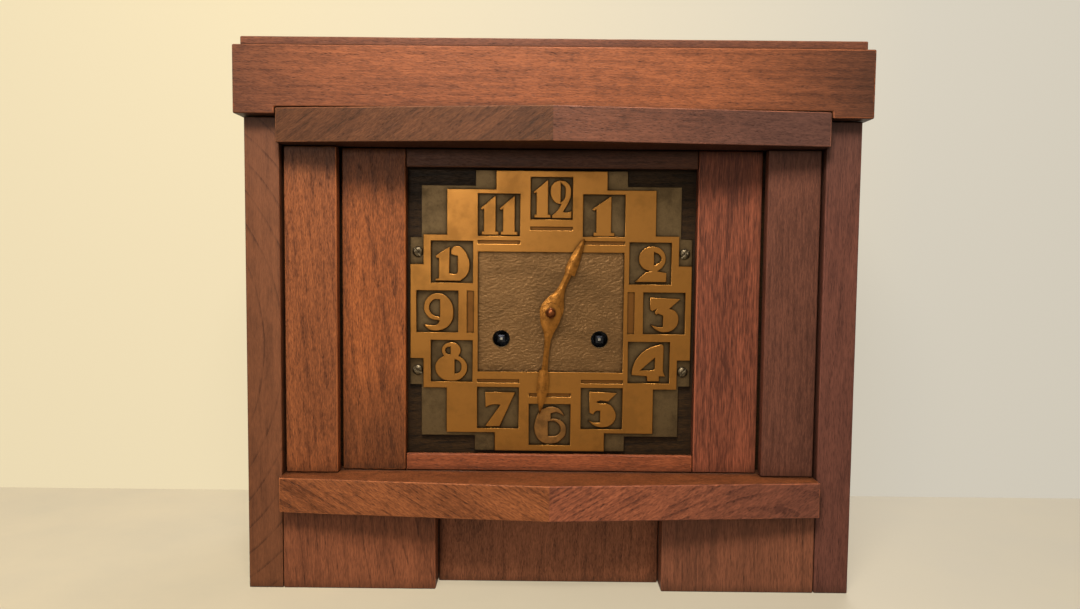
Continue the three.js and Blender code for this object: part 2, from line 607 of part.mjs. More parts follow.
const nutDome = NUT_DOME.map(([out, back]) => [NUT_RADIUS * out, nutFront + NUT_HEIGHT * back]);
const nutInside = [[nutBore, nutBack], [nutBore, nutFront + NUT_CROWN], [0, nutFront + NUT_CROWN]];
piece("hand_nut", turned(0, dialZ, [...nutDome, ...nutInside]), bronze);

// Where the arbors stand: each centre follows from the teeth of the wheel and pinion that meet there.
const spacing = (module, a, b) => (module * (a + b)) / 2;
function meet([x0, z0], r0, [x1, z1], r1, side) {
  const apart = Math.hypot(x1 - x0, z1 - z0);
  const along = (r0 * r0 - r1 * r1 + apart * apart) / (2 * apart);
  const off = side * Math.sqrt(r0 * r0 - along * along);
  const [ux, uz] = [(x1 - x0) / apart, (z1 - z0) / apart];
  return [x0 + along * ux - off * uz, z0 + along * uz + off * ux];
}
const greatSpacing = spacing(GREAT_MODULE, GREAT_TEETH, GREAT_PINION);
const centre = [0, dialZ];
const timeBarrel = [windingX, windingZ];
const strikeBarrel = [-windingX, windingZ];
const second = meet(timeBarrel, greatSpacing, centre, spacing(SECOND_MODULE, SECOND_TEETH, CENTRE_PINION), -1);
const escape = [0, dialZ + ESCAPE_RISE];
const anchor = [0, dialZ + ESCAPE_RISE + ANCHOR_RISE];
const third = meet(centre, spacing(CENTRE_MODULE, CENTRE_TEETH, THIRD_PINION),
  escape, spacing(THIRD_MODULE, THIRD_TEETH, ESCAPE_PINION), 1);
const stud = [0, dialZ - spacing(CANNON_MODULE, CANNON_TEETH, MINUTE_TEETH)];
const hourModule = (2 * (dialZ - stud[1])) / (MINUTE_PINION + HOUR_TEETH);
const pinWheel = [-windingX, windingZ + greatSpacing];
const hammer = [HAMMER_PLACE[0], dialZ + HAMMER_PLACE[1]];

// Levels along Y: the motion work in front of the plates, and the trains between them.
const hourLevel = panelBack + HOUR_LEVEL;
const cannonLevel = frontPlate - CANNON_LEVEL;
const ratchetLevel = frontPlate - RATCHET_LEVEL;
const greatLevel = trainFront + GREAT_LEVEL;
const thirdLevel = trainFront + THIRD_LEVEL;
const centreLevel = trainFront + CENTRE_LEVEL;
const escapeLevel = trainFront + ESCAPE_LEVEL;
const secondLevel = trainBack - SECOND_LEVEL;
const tailLevel = trainBack - TAIL_LEVEL;
const barrelBack = greatLevel + WHEEL_THICKNESS + BARREL_LENGTH;
const pinionReach = (PINION_LENGTH - WHEEL_THICKNESS) / 2;

// A toothed outline about (x, z). Wheel teeth come to a point, pinion leaves are blunt.
function toothed([x, z], teeth, profile, phase) {
  const pitch = (2 * Math.PI) / teeth;
  const points = [];
  for (let i = 0; i < teeth; i += 1) {
    for (const [radius, shift] of profile) {
      const angle = phase + (i + shift) * pitch;
      points.push([x + radius * Math.cos(angle), z + radius * Math.sin(angle)]);
    }
  }
  return outline(points);
}
function wheel(at, teeth, module, phase, level) {
  const radius = (module * teeth) / 2;
  const root = radius - DEDENDUM * module;
  const profile = [[root, -TOOTH_ROOT], [radius + WHEEL_ADDENDUM * module, 0], [root, TOOTH_ROOT]];
  return plate(toothed(at, teeth, profile, phase), level, level + WHEEL_THICKNESS);
}
function pinion(at, teeth, module, phase, level) {
  const radius = (module * teeth) / 2;
  const root = radius - DEDENDUM * module;
  const tip = radius + PINION_ADDENDUM * module;
  const profile = [[root, -LEAF_ROOT], [tip, -LEAF_TIP], [tip, LEAF_TIP], [root, LEAF_ROOT]];
  const back = level + WHEEL_THICKNESS + pinionReach;
  return plate(toothed(at, teeth, profile, phase), level - pinionReach, back);
}
const heading = ([x0, z0], [x1, z1]) => Math.atan2(z1 - z0, x1 - x0);
// The turn of a gear at b that puts a gap where the gear at a, turned by phase, has a tooth.
function mesh(a, b, teethA, teethB, phase) {
  const angle = heading(a, b);
  return angle + Math.PI + Math.PI / teethB + ((angle - phase) * teethA) / teethB;
}
const arbor = ([x, z], y0 = frontPlate, y1 = movementBack) => bar(x, z, ARBOR, y0, y1, SMALL_SIDES);

// Two plates, held apart by four pillars that carry the movement on the back of the panel.
const plateHalf = PLATE_WIDTH / 2;
const pillarX = plateHalf - PILLAR_INSET;
const pillarZ = [dialZ - PLATE_BELOW + PILLAR_INSET, dialZ + PLATE_ABOVE - PILLAR_INSET];
const clicks = [[windingX + CLICK_PLACE[0], windingZ + CLICK_PLACE[1]],
  [-windingX - CLICK_PLACE[0], windingZ + CLICK_PLACE[1]]];
const pivots = [second, third, escape, anchor, pinWheel, hammer];
const movementHoles = pivots.map(([x, z]) => through(x, z, ARBOR + FIT));
for (const [x, z] of [timeBarrel, strikeBarrel]) movementHoles.push(through(x, z, WINDING_RADIUS + FIT));
for (const x of [-pillarX, pillarX]) {
  for (const z of pillarZ) movementHoles.push(through(x, z, PILLAR_NECK + FIT));
}
function plateAt(y) {
  const sheet = box(-plateHalf, plateHalf, y, y + PLATE_THICKNESS, dialZ - PLATE_BELOW, dialZ + PLATE_ABOVE);
  return cut(sheet, ...movementHoles, through(...centre, ARBOR + FIT));
}
const studBar = arbor(stud, hourLevel - STUD_PROUD, frontPlate + MERGE);
const clickHoles = clicks.map(([x, z]) => through(x, z, CLICK_PIN + FIT));
piece("movement_front_plate", join(cut(plateAt(frontPlate), ...clickHoles), studBar), brass);

// The back plate carries a cock whose pin the pendulum hangs on.
const pendulumY = movementBack + PENDULUM_OFFSET;
const cockBack = pendulumY + ROD_THICKNESS + COCK_THICKNESS;
const cockTop = anchor[1] + ROD_HEAD + COCK_THICKNESS + COCK_ROOM;
const cockArm = box(-COCK_HALF, COCK_HALF, trainBack + MERGE, cockBack, cockTop - COCK_THICKNESS, cockTop);
const cockDrop = box(-COCK_HALF, COCK_HALF, cockBack - COCK_THICKNESS, cockBack,
  anchor[1] - COCK_HALF / 2, cockTop);
const cockPin = arbor(anchor, pendulumY - ROD_THICKNESS, cockBack - MERGE);
piece("movement_back_plate", join(plateAt(trainBack), cockArm, cockDrop, cockPin), brass);
for (const [i, j] of corners) {
  const [x, z] = [i * pillarX, pillarZ[j > 0 ? 1 : 0]];
  const neck = bar(x, z, PILLAR_NECK, panelBack + FIT, movementBack + PILLAR_PROUD);
  const foot = bar(x, z, PILLAR_RADIUS, panelBack + FIT, frontPlate - FIT);
  const body = bar(x, z, PILLAR_RADIUS, trainFront + FIT, trainBack - FIT);
  piece(`pillar_${j > 0 ? "upper" : "lower"}_${i > 0 ? "right" : "left"}`, join(neck, foot, body), brass);
}

// Each train is driven by a spring barrel on a winding arbor with a ratchet, which a click holds.
const trains = [["time", timeBarrel, clicks[0]], ["strike", strikeBarrel, clicks[1]]];
for (const [name, [x, z], [clickX, clickZ]] of trains) {
  const drum = bar(x, z, BARREL_RADIUS, greatLevel, barrelBack, ROUND_SIDES);
  const greatWheel = wheel([x, z], GREAT_TEETH, GREAT_MODULE, 0, greatLevel);
  piece(`${name}_barrel`, cut(join(drum, greatWheel), through(x, z, WINDING_RADIUS + FIT)), brass);
  const shaft = bar(x, z, WINDING_RADIUS, ratchetLevel, movementBack + WINDING_PROUD);
  const side = WINDING_SQUARE / 2;
  const squareEnd = dialBaseFront + WINDING_SQUARE_SETBACK;
  const square = box(x - side, x + side, squareEnd, ratchetLevel + MERGE, z - side, z + side);
  const tooth = [[RATCHET_RADIUS * RATCHET_ROOT, 0], [RATCHET_RADIUS, RATCHET_LEAN]];
  const ratchetBack = ratchetLevel + RATCHET_THICKNESS;
  const ratchet = plate(toothed([x, z], RATCHET_TEETH, tooth, 0), ratchetLevel, ratchetBack);
  piece(`${name}_winding_arbor`, join(shaft, square, ratchet), steel);
  const reach = Math.hypot(clickX - x, clickZ - z) - RATCHET_RADIUS - CLICK_GAP;
  const angle = heading([clickX, clickZ], [x, z]);
  const sides = [[0, -CLICK_RADIUS], [reach, -CLICK_TIP], [reach, CLICK_TIP], [0, CLICK_RADIUS]];
  const blade = sides.map(([along, across]) => [
    clickX + along * Math.cos(angle) - across * Math.sin(angle),
    clickZ + along * Math.sin(angle) + across * Math.cos(angle),
  ]);
  const clickPin = bar(clickX, clickZ, CLICK_PIN, ratchetLevel, trainFront - FIT, SMALL_SIDES);
  const eye = bar(clickX, clickZ, CLICK_RADIUS, ratchetLevel, ratchetBack);
  piece(`${name}_click`, join(plate(outline(blade), ratchetLevel, ratchetBack), eye, clickPin), steel);
}

// The time train, from the second wheel through the centre arbor to the escape wheel.
const secondPhase = mesh(timeBarrel, second, GREAT_TEETH, GREAT_PINION, 0);
const secondPinion = pinion(second, GREAT_PINION, GREAT_MODULE, secondPhase, greatLevel);
const secondRim = wheel(second, SECOND_TEETH, SECOND_MODULE, 0, secondLevel);
piece("second_wheel", join(arbor(second), secondPinion, secondRim), brass);
const centrePhase = mesh(second, centre, SECOND_TEETH, CENTRE_PINION, 0);
const centrePinion = pinion(centre, CENTRE_PINION, SECOND_MODULE, centrePhase, secondLevel);
const cannonPinion = pinion(centre, CANNON_TEETH, CANNON_MODULE, 0, cannonLevel);
const cannon = bar(...centre, CANNON_RADIUS, minuteHandFront, cannonLevel + MERGE);
const centreWheel = wheel(centre, CENTRE_TEETH, CENTRE_MODULE, 0, centreLevel);
const centreBar = arbor(centre, nutFront + NUT_CROWN + FIT);
piece("centre_arbor", join(centreBar, cannon, cannonPinion, centreWheel, centrePinion), brass);
const thirdPhase = mesh(centre, third, CENTRE_TEETH, THIRD_PINION, 0);
const thirdPinion = pinion(third, THIRD_PINION, CENTRE_MODULE, thirdPhase, centreLevel);
const thirdRim = wheel(third, THIRD_TEETH, THIRD_MODULE, 0, thirdLevel);
piece("third_wheel", join(arbor(third), thirdPinion, thirdRim), brass);
const escapePhase = mesh(third, escape, THIRD_TEETH, ESCAPE_PINION, 0);
const escapePinion = pinion(escape, ESCAPE_PINION, THIRD_MODULE, escapePhase, thirdLevel);
const escapeRoot = ESCAPE_RADIUS * ESCAPE_ROOT;
const escapeTooth = [[escapeRoot, 0], [ESCAPE_RADIUS, ESCAPE_LEAN[0]], [escapeRoot, ESCAPE_LEAN[1]]];
const escapeBack = escapeLevel + WHEEL_THICKNESS;
const escapeRim = plate(toothed(escape, ESCAPE_TEETH, escapeTooth, 0), escapeLevel, escapeBack);
piece("escape_wheel", join(arbor(escape), escapePinion, escapeRim), brass);

// The motion work takes the minute hand's turning down to the hour hand's, twelve to one.
const minutePhase = mesh(centre, stud, CANNON_TEETH, MINUTE_TEETH, 0);
const minuteHub = bar(...stud, MINUTE_HUB, hourLevel - pinionReach, cannonLevel + WHEEL_THICKNESS);
const minuteRim = wheel(stud, MINUTE_TEETH, CANNON_MODULE, minutePhase, cannonLevel);
const minuteLeaves = pinion(stud, MINUTE_PINION, hourModule, 0, hourLevel);
piece("minute_wheel", cut(join(minuteHub, minuteRim, minuteLeaves), through(...stud, ARBOR + FIT)), brass);
const hourPhase = mesh(stud, centre, MINUTE_PINION, HOUR_TEETH, 0);
const pipe = bar(...centre, pipeOuter, hourHandFront, hourLevel + WHEEL_THICKNESS);
piece("hour_wheel", cut(join(pipe, wheel(centre, HOUR_TEETH, hourModule, hourPhase, hourLevel)),
  through(...centre, pipeInner)), brass);

// The strike train's pin wheel lifts the hammer's tail, and the hammer falls on the gong rod.
const strikePhase = mesh(strikeBarrel, pinWheel, GREAT_TEETH, GREAT_PINION, 0);
const strikePinion = pinion(pinWheel, GREAT_PINION, GREAT_MODULE, strikePhase, greatLevel);
const pinRim = bar(...pinWheel, PIN_WHEEL_RADIUS, secondLevel, secondLevel + WHEEL_THICKNESS, ROUND_SIDES);
const pins = [];
for (let i = 0; i < PIN_COUNT; i += 1) {
  const angle = (2 * Math.PI * i) / PIN_COUNT;
  const [x, z] = [pinWheel[0] + PIN_CIRCLE * Math.cos(angle), pinWheel[1] + PIN_CIRCLE * Math.sin(angle)];
  pins.push(bar(x, z, PIN_RADIUS, secondLevel + MERGE, trainBack - PIN_END_GAP, SMALL_SIDES));
}
piece("pin_wheel", join(arbor(pinWheel), strikePinion, pinRim, ...pins), brass);
const gongY = movementBack + GONG_OFFSET;
const gongZ = ledgeTop + GONG_HEIGHT;
const armHalf = HAMMER_BAR / 2;
const tailEnd = [pinWheel[0] + PIN_CIRCLE + PIN_RADIUS + HAMMER_BAR, pinWheel[1] - TAIL_DROP];
const tailAngle = heading(hammer, tailEnd);
const tailSide = [-armHalf * Math.sin(tailAngle), armHalf * Math.cos(tailAngle)];
const tail = plate(outline([
  [hammer[0] + tailSide[0], hammer[1] + tailSide[1]], [hammer[0] - tailSide[0], hammer[1] - tailSide[1]],
  [tailEnd[0] - tailSide[0], tailEnd[1] - tailSide[1]], [tailEnd[0] + tailSide[0], tailEnd[1] + tailSide[1]],
]), tailLevel, tailLevel + HAMMER_BAR / 2);
const headX = hammer[0] - HAMMER_REACH;
const hammerArm = box(headX - armHalf, hammer[0] + armHalf, gongY - armHalf, gongY + armHalf,
  hammer[1] - armHalf, hammer[1] + armHalf);
const hammerFace = gongZ + GONG_RADIUS + HAMMER_GAP;
const hammerHead = post(headX, gongY, HAMMER_HEAD_RADIUS, hammerFace, hammer[1] + armHalf);
const hammerBar = arbor(hammer, frontPlate, gongY);
piece("hammer", join(hammerBar, tail, hammerArm, hammerHead), steel);

// The anchor rocks over the escape wheel, and its crutch reaches back to the pendulum rod.
const [, anchorZ] = anchor;
const bandInner = ESCAPE_RADIUS + ANCHOR_CLEARANCE;
const anchorArms = new THREE.Shape();
anchorArms.absarc(...escape, bandInner + ANCHOR_BAND, ...ANCHOR_SPREAD, false);
anchorArms.absarc(...escape, bandInner, ANCHOR_SPREAD[1], ANCHOR_SPREAD[0], true);
const anchorBand = plate(anchorArms, escapeLevel, escapeBack, ARC_STEPS);
const anchorHub = bar(...anchor, ANCHOR_HUB, escapeLevel, escapeBack);
const crutchFront = movementBack + CRUTCH_GAP;
const crutchBack = crutchFront + CRUTCH_THICKNESS;
const crutchZ = anchorZ - CRUTCH_LENGTH;
const prong = ROD_WIDTH / 2 + FIT;
const crutchArm = box(-ARBOR, ARBOR, crutchFront, crutchBack, crutchZ, anchorZ);
const crutchFoot = CRUTCH_FOOT.map((rise) => crutchZ + rise);
const crutchBar = box(-prong - PRONG, prong + PRONG, crutchFront, crutchBack, ...crutchFoot);
const prongs = [-1, 1].map((side) => {
  const faces = [side * prong, side * (prong + PRONG)].sort((a, b) => a - b);
  return box(...faces, crutchFront, pendulumY + ROD_THICKNESS / 2, ...crutchFoot);
});
const anchorBar = arbor(anchor, frontPlate, crutchBack);
piece("anchor", join(anchorBar, anchorBand, anchorHub, crutchArm, crutchBar, ...prongs), steel);

// The pendulum: a flat rod hung on the cock's pin, and a lens-shaped bob that rests on the rod's foot.
const bobZ = anchorZ - PENDULUM_LENGTH;
const rodFront = pendulumY - ROD_THICKNESS / 2;
const rodBack = pendulumY + ROD_THICKNESS / 2;
const rodFoot = bobZ - BOB_RADIUS - FIT;
const rodHead = bar(...anchor, ROD_HEAD, rodFront, rodBack);
const rodBar = box(-ROD_WIDTH / 2, ROD_WIDTH / 2, rodFront, rodBack, rodFoot - MERGE, anchorZ);
const ratingNut = post(0, pendulumY, ROD_WIDTH, rodFoot - ROD_WIDTH, rodFoot);
const rodEye = bar(...anchor, ARBOR + FIT, rodFront - OVERCUT, rodBack + OVERCUT);
piece("pendulum_rod", cut(join(rodHead, rodBar, ratingNut), rodEye), steel);
const bobHalf = BOB_THICKNESS / 2;
const bobFace = (way) => BOB_CURVE.map(([out, rise]) => [BOB_RADIUS * out, pendulumY + way * bobHalf * rise]);
const lens = turned(0, bobZ, [...bobFace(-1), ...bobFace(1).reverse()], ROUND_SIDES);
const rodSlot = box(-ROD_WIDTH / 2 - FIT, ROD_WIDTH / 2 + FIT, rodFront - FIT, rodBack + FIT,
  bobZ - BOB_RADIUS - OVERCUT, bobZ + BOB_RADIUS + OVERCUT);
piece("pendulum_bob", cut(lens, rodSlot), brass);

// The gong: a steel rod driven into a cast block on the floor board.
const [blockX, blockY, blockZ] = GONG_BLOCK;
const blockRight = GONG_SIDE_GAP + blockX - inner;
const block = box(blockRight - blockX, blockRight, gongY - blockY / 2, gongY + blockY / 2,
  ledgeTop + FIT, ledgeTop + FIT + blockZ);
function alongX(radius, x0, x1) {
  const rod = new THREE.CylinderGeometry(radius, radius, x1 - x0, BAR_SIDES);
  return solid(rod.rotateZ(Math.PI / 2).translate((x0 + x1) / 2, gongY, gongZ));
}
const rodEnd = blockRight - blockX / 2;
piece("gong_block", cut(block, alongX(GONG_RADIUS + FIT, rodEnd - FIT, blockRight + OVERCUT)), cast);
piece("gong_rod", alongX(GONG_RADIUS, rodEnd, rodEnd + GONG_LENGTH), steel);

export default part;
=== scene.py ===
import math
import bpy
import bmesh
from mathutils import Matrix, Vector, noise


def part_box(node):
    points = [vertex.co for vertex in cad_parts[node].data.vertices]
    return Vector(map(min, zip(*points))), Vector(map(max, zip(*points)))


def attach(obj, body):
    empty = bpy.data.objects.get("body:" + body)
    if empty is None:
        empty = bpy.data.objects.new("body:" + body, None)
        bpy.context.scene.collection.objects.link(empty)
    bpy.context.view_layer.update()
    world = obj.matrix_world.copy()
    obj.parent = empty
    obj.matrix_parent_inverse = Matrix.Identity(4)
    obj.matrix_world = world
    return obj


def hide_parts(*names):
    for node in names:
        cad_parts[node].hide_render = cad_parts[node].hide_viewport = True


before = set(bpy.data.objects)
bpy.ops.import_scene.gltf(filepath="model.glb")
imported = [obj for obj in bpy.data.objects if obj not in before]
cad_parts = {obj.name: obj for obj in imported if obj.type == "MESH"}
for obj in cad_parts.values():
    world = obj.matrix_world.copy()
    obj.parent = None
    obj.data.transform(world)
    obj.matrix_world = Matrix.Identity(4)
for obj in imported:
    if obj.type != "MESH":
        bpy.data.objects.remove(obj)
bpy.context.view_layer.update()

# The room: a cream plastered wall close behind the clock and the pale painted shelf that it stands on.
# A warm lamp hangs above the front, and a window, a bright wall and the room behind soften the shadows.
scene = bpy.context.scene
scene.view_settings.view_transform = "Standard"
CAMERA_PLACE = (-0.0050, -0.5338, 0.19845)
CAMERA_PAN, CAMERA_TILT, CAMERA_ROLL = 0.0029, 0.0619, 0.0096
camera = bpy.data.objects.new("camera", bpy.data.cameras.new("camera"))
scene.collection.objects.link(camera)
camera.data.sensor_width = 36
camera.data.lens = 26.99
camera.matrix_world = (Matrix.Translation(CAMERA_PLACE) @ Matrix.Rotation(CAMERA_PAN, 4, "Z")
                       @ Matrix.Rotation(math.pi / 2 - CAMERA_TILT, 4, "X")
                       @ Matrix.Rotation(CAMERA_ROLL, 4, "Z"))
scene.camera = camera


def lamp(name, place, aim, size, watts, color):
    """A round lamp with its width, aimed at a point."""
    light = bpy.data.lights.new(name, "AREA")
    light.shape = "DISK"
    light.size = size
    light.energy = watts
    light.color = color
    holder = bpy.data.objects.new(name, light)
    holder.location = place
    holder.rotation_euler = (Vector(aim) - Vector(place)).to_track_quat("-Z", "Y").to_euler()
    scene.collection.objects.link(holder)


lamp("ceiling_lamp", (-0.05, -0.52, 0.76), (-0.04, 0, 0.17), 0.26, 6.4, (1, 0.95, 0.86))
lamp("window", (-0.36, -1.7, 0.46), (-0.05, 0, 0.2), 0.25, 3.4, (1, 0.96, 0.88))
lamp("bright_wall", (-1.1, -1.7, 1.4), (0, 0, 0.15), 1.5, 5, (1, 0.97, 0.92))
lamp("room_behind", (0.7, 1.8, 1.3), (0, 0.1, 0.15), 1.4, 32, (1, 0.97, 0.93))


def put(tree, kind, inputs=None, **settings):
    """A node with its settings, whose inputs are either linked to a socket or set to a value."""
    made = tree.nodes.new(kind)
    for key, value in settings.items():
        setattr(made, key, value)
    for key, value in (inputs or {}).items():
        if isinstance(value, bpy.types.NodeSocket):
            tree.links.new(value, made.inputs[key])
        else:
            made.inputs[key].default_value = value
    return made


def reckon(tree, kind, *values, clamp=False):
    """The result of a sum on values."""
    return put(tree, "ShaderNodeMath", dict(enumerate(values)), operation=kind, use_clamp=clamp).outputs[0]


def span(tree, value, low, high, least=0.0, kind="LINEAR"):
    """How far a value has come from low to high, counted from the least share to 1."""
    inputs = {"Value": value, "From Min": low, "From Max": high, "To Min": least}
    return put(tree, "ShaderNodeMapRange", inputs, interpolation_type=kind).outputs[0]


def blend(tree, share, first, second):
    """A colour that goes over from a first to a second."""
    return put(tree, "ShaderNodeMix", {0: share, 6: first, 7: second}, data_type="RGBA").outputs[2]


def speckle(tree, where, scale, detail, roughness=0.5, distortion=0.0):
    """Soft spots, so many to the metre."""
    inputs = {"Vector": where, "Scale": scale, "Detail": detail, "Roughness": roughness,
              "Distortion": distortion}
    return put(tree, "ShaderNodeTexNoise", inputs).outputs[0]


def shade(*screen):
    """A colour written in screen values from 0 to 255."""
    return [c / 255 / 12.92 if c <= 10 else ((c / 255 + 0.055) / 1.055) ** 2.4 for c in screen] + [1]


def blank(name):
    """A material with an empty node tree, and its output."""
    material = bpy.data.materials.new(name)
    material.use_nodes = True
    material.node_tree.nodes.clear()
    return material, material.node_tree, material.node_tree.nodes.new("ShaderNodeOutputMaterial")


FILL_LIGHT = 0.13
world = bpy.data.worlds.new("room")
scene.world = world
world.use_nodes = True
sky = world.node_tree
sky.nodes.clear()
ray = put(sky, "ShaderNodeLightPath")
seen = reckon(sky, "MAXIMUM", ray.outputs["Is Camera Ray"], ray.outputs["Is Transmission Ray"])
seen = reckon(sky, "MAXIMUM", seen, ray.outputs["Is Glossy Ray"])
room_light = put(sky, "ShaderNodeBackground", {"Color": (1, 0.97, 0.93, 1), "Strength": FILL_LIGHT})
room_seen = put(sky, "ShaderNodeBackground", {"Color": shade(232, 222, 200), "Strength": 1})
room_mix = put(sky, "ShaderNodeMixShader", {0: seen, 1: room_light.outputs[0], 2: room_seen.outputs[0]})
put(sky, "ShaderNodeOutputWorld", {"Surface": room_mix.outputs[0]})


def stage_sheet(name, corners):
    """A flat sheet of the stage, which is not part of the clock."""
    mesh = bpy.data.meshes.new(name)
    mesh.from_pydata(corners, [], [(0, 1, 2, 3)])
    sheet = bpy.data.objects.new(name, mesh)
    sheet.visible_diffuse = False
    scene.collection.objects.link(sheet)
    return sheet


def faded(tree, where, left, right, left_color, right_color):
    """A colour that goes over to another between two places from left to right."""
    across = put(tree, "ShaderNodeSeparateXYZ", {0: where}).outputs["X"]
    return blend(tree, span(tree, across, left, right), left_color, right_color)


def lit_paint(tree, color, share, glow, **coat):
    """Paint that gives a share of its colour back whatever the light."""
    paint = put(tree, "ShaderNodeBsdfPrincipled", {"Base Color": color, **coat})
    light = put(tree, "ShaderNodeEmission", {"Color": color, "Strength": glow})
    return put(tree, "ShaderNodeMixShader", {0: share, 1: paint.outputs[0], 2: light.outputs[0]}).outputs[0]


WALL_Y, WALL_TOP = 0.13, 3
STAGE_LEFT, STAGE_RIGHT = -4, 4
SHELF_FRONT, SHELF_BACK = -3, 4
wall = stage_sheet("wall", [(STAGE_LEFT, WALL_Y, 0), (STAGE_RIGHT, WALL_Y, 0),
                            (STAGE_RIGHT, WALL_Y, WALL_TOP), (STAGE_LEFT, WALL_Y, WALL_TOP)])
wall.visible_shadow = False
plaster, tree, out = blank("plaster")
where = put(tree, "ShaderNodeTexCoord").outputs["Object"]
# The cream is painted darker and greyer towards the right, a painted fall-off of the lamp's light.
cream = faded(tree, where, -0.25, 0.3, shade(247, 230, 190), shade(220, 213, 197))
grit = speckle(tree, where, 60, 4)
grain = put(tree, "ShaderNodeBump", {"Height": grit, "Strength": 0.08, "Distance": 0.001})
paint = lit_paint(tree, cream, 0.75, 1, Roughness=0.8, Normal=grain.outputs[0])
through = put(tree, "ShaderNodeBsdfTransparent").outputs[0]
behind = put(tree, "ShaderNodeNewGeometry").outputs["Backfacing"]
one_sided = put(tree, "ShaderNodeMixShader", {0: behind, 1: paint, 2: through})
tree.links.new(one_sided.outputs[0], out.inputs[0])
wall.data.materials.append(plaster)

shelf = stage_sheet("shelf", [(STAGE_LEFT, SHELF_FRONT, 0), (STAGE_RIGHT, SHELF_FRONT, 0),
                              (STAGE_RIGHT, SHELF_BACK, 0), (STAGE_LEFT, SHELF_BACK, 0)])
shelf_paint, tree, out = blank("shelf_paint")
where = put(tree, "ShaderNodeTexCoord").outputs["Object"]
scuffs = speckle(tree, where, 9, 6, 0.6)
# The shelf is painted darker towards the right, a painted fall-off of the lamp's light; the scuffs are its
# own.
painted_falloff = faded(tree, where, -0.2, 0.3, shade(238, 218, 180), shade(199, 189, 170))
scuffed = blend(tree, scuffs, painted_falloff, shade(212, 198, 170))
tree.links.new(lit_paint(tree, scuffed, 0.6, 0.95, Roughness=0.65), out.inputs[0])
shelf.data.materials.append(shelf_paint)

# The side boards: two upright oak boards from the shelf to the frieze, whose front edges show as stiles.
# Stained red-brown and waxed, with slightly rounded arrises and the growth rings crossing the front edges.
MM = 0.001
SURFACE = {"Color": "Color", "Roughness": "Float", "Height": "Float"}


def new_group(name, inputs):
    """An empty group of shader nodes that puts out a surface, and the sockets that come into it."""
    group = bpy.data.node_groups.new(name, "ShaderNodeTree")
    for way, sockets in [("INPUT", inputs), ("OUTPUT", SURFACE)]:
        for socket, kind in sockets.items():
            group.interface.new_socket(name=socket, in_out=way, socket_type="NodeSocket" + kind)
    return group, group.nodes.new("NodeGroupInput").outputs


def grain_group():
    """Oak in the round: pores and fibres along Z, growth rings about an axis, and the stain in them."""
    group, come = new_group("oak grain", {
        "Along": "Vector", "Rings": "Vector", "Late wood": "Color", "Early wood": "Color", "Pore": "Color",
        "Figure": "Float", "Ring start": "Float", "Fleck amount": "Float", "Pore amount": "Float",
        "Worn and highlit wood": "Color", "Wear and painted light": "Float"})

    def figure(kind, *values, clamp=True):
        return reckon(group, kind, *values, clamp=clamp)

    def soft(value, low, high):
        return span(group, value, low, high, kind="SMOOTHSTEP")

    def drawn(across, along):
        """The place in the wood, for marks that are so many to the metre across the grain and along it."""
        inputs = {0: come["Along"], 1: (across, across, along)}
        return put(group, "ShaderNodeVectorMath", inputs, operation="MULTIPLY").outputs[0]

    def marks(across, along, *kind):
        return speckle(group, drawn(across, along), 1, *kind)

    def dots(across, along):
        return put(group, "ShaderNodeTexVoronoi", {"Vector": drawn(across, along), "Scale": 1}).outputs[0]

    rings = put(group, "ShaderNodeTexWave", {"Vector": come["Rings"], "Scale": 1, "Distortion": 2.2,
                                             "Detail": 3, "Detail Scale": 0.25, "Detail Roughness": 0.55},
                wave_type="RINGS", rings_direction="Z", wave_profile="SAW").outputs["Fac"]
    broad = marks(34, 5, 3, 0.6)
    streak = marks(420, 15, 3)
    fleck = marks(1350, 230, 4, 0.62, 0.25)
    fibre = marks(1700, 90, 2, 0.7)
    patch = soft(marks(150, 60, 2), 0.36, 0.62)
    early = figure("MULTIPLY", soft(rings, come["Ring start"], 0.97), figure("MULTIPLY_ADD", patch, 0.7, 0.3))
    crowded = soft(figure("ADD", early, streak, clamp=False), 0.4, 1.0)
    coarse = figure("MULTIPLY", soft(dots(1250, 240), 0.34, 0.14), crowded)
    coarse = figure("MULTIPLY", coarse, figure("MULTIPLY_ADD", patch, 0.45, 0.55))
    fine = figure("MULTIPLY", soft(dots(1700, 330), 0.4, 0.2), 0.5)
    pores = figure("MULTIPLY", figure("MAXIMUM", coarse, fine), come["Pore amount"])
    shadow = figure("MULTIPLY_ADD", early, come["Figure"], figure("MULTIPLY", soft(broad, 0.32, 0.7), 0.34))
    shadow = figure("MULTIPLY_ADD", figure("MULTIPLY", soft(streak, 0.36, 0.66), patch), 0.3, shadow)
    shadow = figure("MULTIPLY_ADD", soft(fleck, 0.34, 0.64), come["Fleck amount"], shadow)
    color = blend(group, shadow, come["Late wood"], come["Early wood"])
    threads = figure("MULTIPLY", soft(fibre, 0.4, 0.7), figure("MULTIPLY", come["Fleck amount"], 0.8))
    color = blend(group, threads, color, come["Early wood"])
    color = blend(group, pores, color, come["Pore"])
    # A negative share darkens towards the pore colour: painted shade under faces that look down, and darker
    # tops.
    color = blend(group, figure("MULTIPLY", come["Wear and painted light"], -0.75), color, come["Pore"])
    # A positive share lightens the arrises in patches: wear, and a painted highlight on them.
    rubbed_and_highlit = figure("MULTIPLY", come["Wear and painted light"], soft(figure("ADD", streak, broad, clamp=False), 0.85, 1.3))
    color = blend(group, rubbed_and_highlit, color, come["Worn and highlit wood"])
    gloss = figure("ADD", figure("MULTIPLY", pores, 0.2), figure("MULTIPLY_ADD", fleck, 0.22, 0.36))
    relief = figure("MULTIPLY_ADD", fibre, 0.25, figure("MULTIPLY", fleck, 0.4))
    relief = figure("SUBTRACT", relief, pores, clamp=False)
    put(group, "NodeGroupOutput", {"Color": color, "Roughness": gloss, "Height": relief})
    return group


